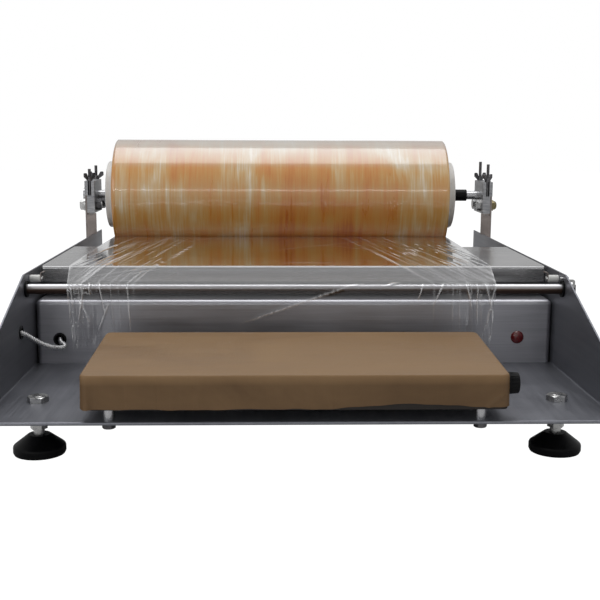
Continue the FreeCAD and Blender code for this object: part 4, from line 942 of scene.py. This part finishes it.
def smooth_route(name, points, radius):
    curve = bpy.data.curves.new(name, "CURVE")
    curve.dimensions = "3D"
    spline = curve.splines.new("NURBS")
    spline.points.add(len(points) - 1)
    for point, place in zip(spline.points, points):
        point.co = (*place, 1)
    spline.order_u = 3
    spline.use_endpoint_u = True
    spline.resolution_u = 8
    curve.bevel_depth = radius
    curve.bevel_resolution = 5
    curve.use_fill_caps = True
    piece = bpy.data.objects.new(name, curve)
    scene.collection.objects.link(piece)
    return piece


def line_of(curve):
    # Points along the spline, as Blender gives them for a curve with no section.
    return [vertex.co.copy() for vertex in evaluated_mesh(curve).vertices]


def length_of(line):
    return sum((b - a).length for a, b in zip(line, line[1:]))


# %% Bar lead
lead_line = line_of(smooth_route("lead_line", lead_route, 0.0))
bpy.data.objects.remove(bpy.data.objects["lead_line"])
lead = smooth_route("black_lead", lead_route, cord_diameter / 2)
finished(lead, "frame", black_rubber, ["bar_lead"])
print("lead", round(length_of(lead_line), 4), "m")


# %% [markdown]
# The conduit's ribs come from Geometry Nodes. The curve becomes points at an even pitch, each
# point carries a ring whose axis follows the line, and a thin tube inside closes the gaps. Realize
# Instances turns the rings into real faces, which the export needs.

# %% Conduit ribs
class ShapeTree(NodeTree):
    def __init__(self, name, inputs):
        super().__init__(bpy.data.node_groups.new(name, "GeometryNodeTree"))
        face = self.tree.interface
        face.new_socket(name="Geometry", in_out="INPUT", socket_type="NodeSocketGeometry")
        for label, (kind, value) in inputs.items():
            socket = face.new_socket(name=label, in_out="INPUT", socket_type=kind)
            if value is not None:
                socket.default_value = value
        face.new_socket(name="Geometry", in_out="OUTPUT", socket_type="NodeSocketGeometry")
        self.start = self.add("NodeGroupInput")

    def given(self, label):
        return self.start.outputs[label]

    def circle(self, resolution, radius_label):
        return self.add("GeometryNodeCurvePrimitiveCircle", {"mode": "RADIUS"},
                        {"Resolution": resolution, "Radius": self.given(radius_label)}).outputs[0]

    def finish(self, geometry):
        # Real faces with the given material, as the group's result.
        coated = self.add("GeometryNodeSetMaterial", {},
                          {0: geometry, "Material": self.given("Material")})
        self.add("NodeGroupOutput", {}, {0: coated.outputs[0]})
        return self.tree


def rib_tree():
    tree = ShapeTree("conduit_ribs", {
        "Pitch": ("NodeSocketFloat", 0.002), "Ring Radius": ("NodeSocketFloat", 0.0019),
        "Rib Radius": ("NodeSocketFloat", 0.0006), "Core Radius": ("NodeSocketFloat", 0.0015),
        "Material": ("NodeSocketMaterial", None)})
    spaced = tree.add("GeometryNodeCurveToPoints", {"mode": "LENGTH"},
                      {"Curve": tree.given("Geometry"), "Length": tree.given("Pitch")})
    rib = tree.add("GeometryNodeCurveToMesh", {},
                   {"Curve": tree.circle(20, "Ring Radius"), "Profile Curve": tree.circle(6, "Rib Radius")})
    ribs = tree.add("GeometryNodeInstanceOnPoints", {},
                    {"Points": spaced.outputs["Points"], "Instance": rib.outputs[0],
                     "Rotation": spaced.outputs["Rotation"]})
    tube = tree.add("GeometryNodeCurveToMesh", {},
                    {"Curve": tree.given("Geometry"), "Profile Curve": tree.circle(20, "Core Radius"),
                     "Fill Caps": True})
    both = tree.add("GeometryNodeJoinGeometry")
    for part in (ribs, tube):
        tree.set(both, 0, part.outputs[0])
    real = tree.add("GeometryNodeRealizeInstances", {}, {0: both.outputs[0]})
    return tree.finish(tree.add("GeometryNodeSetShadeSmooth", {}, {0: real.outputs[0]}).outputs[0])


def use_tree(piece, tree, **values):
    modifier = piece.modifiers.new(tree.name, "NODES")
    modifier.node_group = tree
    for item in tree.interface.items_tree:
        label = item.name.replace(" ", "_").lower()
        if item.in_out == "INPUT" and label in values:
            modifier[item.identifier] = values[label]
    return applied(piece)


conduit_steel = plain_metal("conduit_steel", (0.5, 0.5, 0.51), (0.75, 0.75, 0.75), 0.24)
conduit_curve = smooth_route("ribbed_conduit", conduit_route, 0.0)
conduit_line = line_of(conduit_curve)
ribbed = use_tree(conduit_curve, rib_tree(), pitch=0.00195, ring_radius=0.0017, rib_radius=0.0008,
                  core_radius=0.0015, material=conduit_steel)
finished(ribbed, "frame", conduit_steel, ["conduit"])
print("conduit", round(length_of(conduit_line), 4), "m,", len(ribbed.data.polygons), "faces")

# %% [markdown]
# Screw threads repeat along a stud, so they come from a tree too. A spiral as long as the stud
# carries a small three-sided section. Only the levelling feet have them, where they show between
# the tray and the pad.

# %% Threads
def thread_tree():
    tree = ShapeTree("thread", {
        "Turns": ("NodeSocketFloat", 8.0), "Radius": ("NodeSocketFloat", 0.0047),
        "Height": ("NodeSocketFloat", 0.012), "Section": ("NodeSocketFloat", 0.0006),
        "Material": ("NodeSocketMaterial", None)})
    spiral = tree.add("GeometryNodeCurveSpiral", {},
                      {"Resolution": 24, "Rotations": tree.given("Turns"), "Start Radius": tree.given("Radius"),
                       "End Radius": tree.given("Radius"), "Height": tree.given("Height")})
    ridge = tree.add("GeometryNodeCurveToMesh", {},
                     {"Curve": spiral.outputs[0], "Profile Curve": tree.circle(3, "Section"),
                      "Fill Caps": True})
    return tree.finish(tree.add("GeometryNodeRealizeInstances", {}, {0: ridge.outputs[0]}).outputs[0])


threads = thread_tree()
pad_top, stud_end_inset, stud_core, thread_pitch = 0.0285, 0.0012, 0.00465, 0.0015


def thread_on(name, body, centre, bottom, top, radius, pitch, material):
    start = new_mesh(name, [(0, 0, 0)], [])
    piece = use_tree(start, threads, turns=(top - bottom) / pitch, radius=radius, height=top - bottom,
                     section=pitch * 0.42, material=material)
    piece.data.transform(Matrix.Translation((centre.x, centre.y, bottom)))
    return finished(piece, body, material)


for corner in ("front_left", "front_right", "rear_left", "rear_right"):
    stud = f"foot_stud_{corner}"
    thread_on(f"foot_thread_{corner}", f"foot_{corner}", middle_of(stud), pad_top,
              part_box(stud)[1].z - stud_end_inset, stud_core, thread_pitch, zinc)
print("threads on four feet")

# %% [markdown]
# The room is plain: a pale floor, a white surround and soft lamps. The surround is white where
# the camera looks at it, also through clear film, dimmer in a reflection and dimmest as a light,
# so that a colour renders about as it is written. A broad lamp overhead gives the film its long
# highlight, and a narrow tube in front gives the thin bright line along the roll.

# %% Floor
def pale_floor():
    finish = Finish("pale_floor")
    seen = finish.add("ShaderNodeLightPath")
    mottle = finish.noise((3, 3, 3), detail=2)
    finish.shade(**{"Base Color": finish.mix(mottle, (0.8, 0.8, 0.8), (0.84, 0.84, 0.84)), "Roughness": 0.9})
    glow = finish.add("ShaderNodeEmission", {}, {"Color": (1, 1, 1), "Strength": 1.08})
    both = finish.add("ShaderNodeMixShader", {}, {0: Value(finish, seen.outputs["Is Camera Ray"]) * 0.97,
                                                  1: finish.surface.outputs[0], 2: glow.outputs[0]})
    finish.set(finish.output, 0, both.outputs[0])
    return finish.material


floor = new_mesh("floor", [(-6, -6, 0), (6, -6, 0), (6, 6, 0), (-6, 6, 0)], [(0, 1, 2, 3)])
floor.data.materials.append(pale_floor())

# %% Surround and lamps
as_light, in_mirrors, seen_plainly = 0.33, 0.62, 1.0
world = bpy.data.worlds.new("surround")
scene.world = world
world.use_nodes = True
room = NodeTree(world.node_tree)
rays = room.add("ShaderNodeLightPath").outputs
plain = room.add("ShaderNodeMath", {"operation": "MAXIMUM"},
                 {0: rays["Is Camera Ray"], 1: rays["Is Transmission Ray"]})
dimmed = room.add("ShaderNodeMapRange", {}, {"Value": rays["Is Glossy Ray"], "To Min": as_light,
                                             "To Max": in_mirrors})
strength = room.add("ShaderNodeMix", {}, {0: plain.outputs[0], 2: dimmed.outputs[0], 3: seen_plainly})
sky = room.add("ShaderNodeBackground", {}, {"Color": (1, 1, 1), "Strength": strength.outputs[0]})
room.add("ShaderNodeOutputWorld", {}, {0: sky.outputs[0]})


def soft_lamp(name, place, target, width, height, watts):
    data = bpy.data.lights.new(name, "AREA")
    data.shape = "RECTANGLE"
    data.size, data.size_y, data.energy = width, height, watts
    lamp = bpy.data.objects.new(name, data)
    lamp.location = place
    lamp.rotation_euler = (Vector(target) - Vector(place)).to_track_quat("-Z", "Y").to_euler()
    scene.collection.objects.link(lamp)


soft_lamp("overhead", (0.0, 0.3, 1.75), (0.0, -0.02, 0.2), 1.7, 1.3, 19)
soft_lamp("rear", (0.0, 1.3, 1.5), (0.0, 0.26, 0.25), 1.7, 0.9, 1.2)
soft_lamp("front", (-1.2, -1.5, 1.0), (0.1, 0.0, 0.15), 0.9, 0.9, 5.6)
soft_lamp("tube", (0.0, -2.5, 0.82), (0.0, 0.18, 0.2), 3.0, 0.02, 3.4)
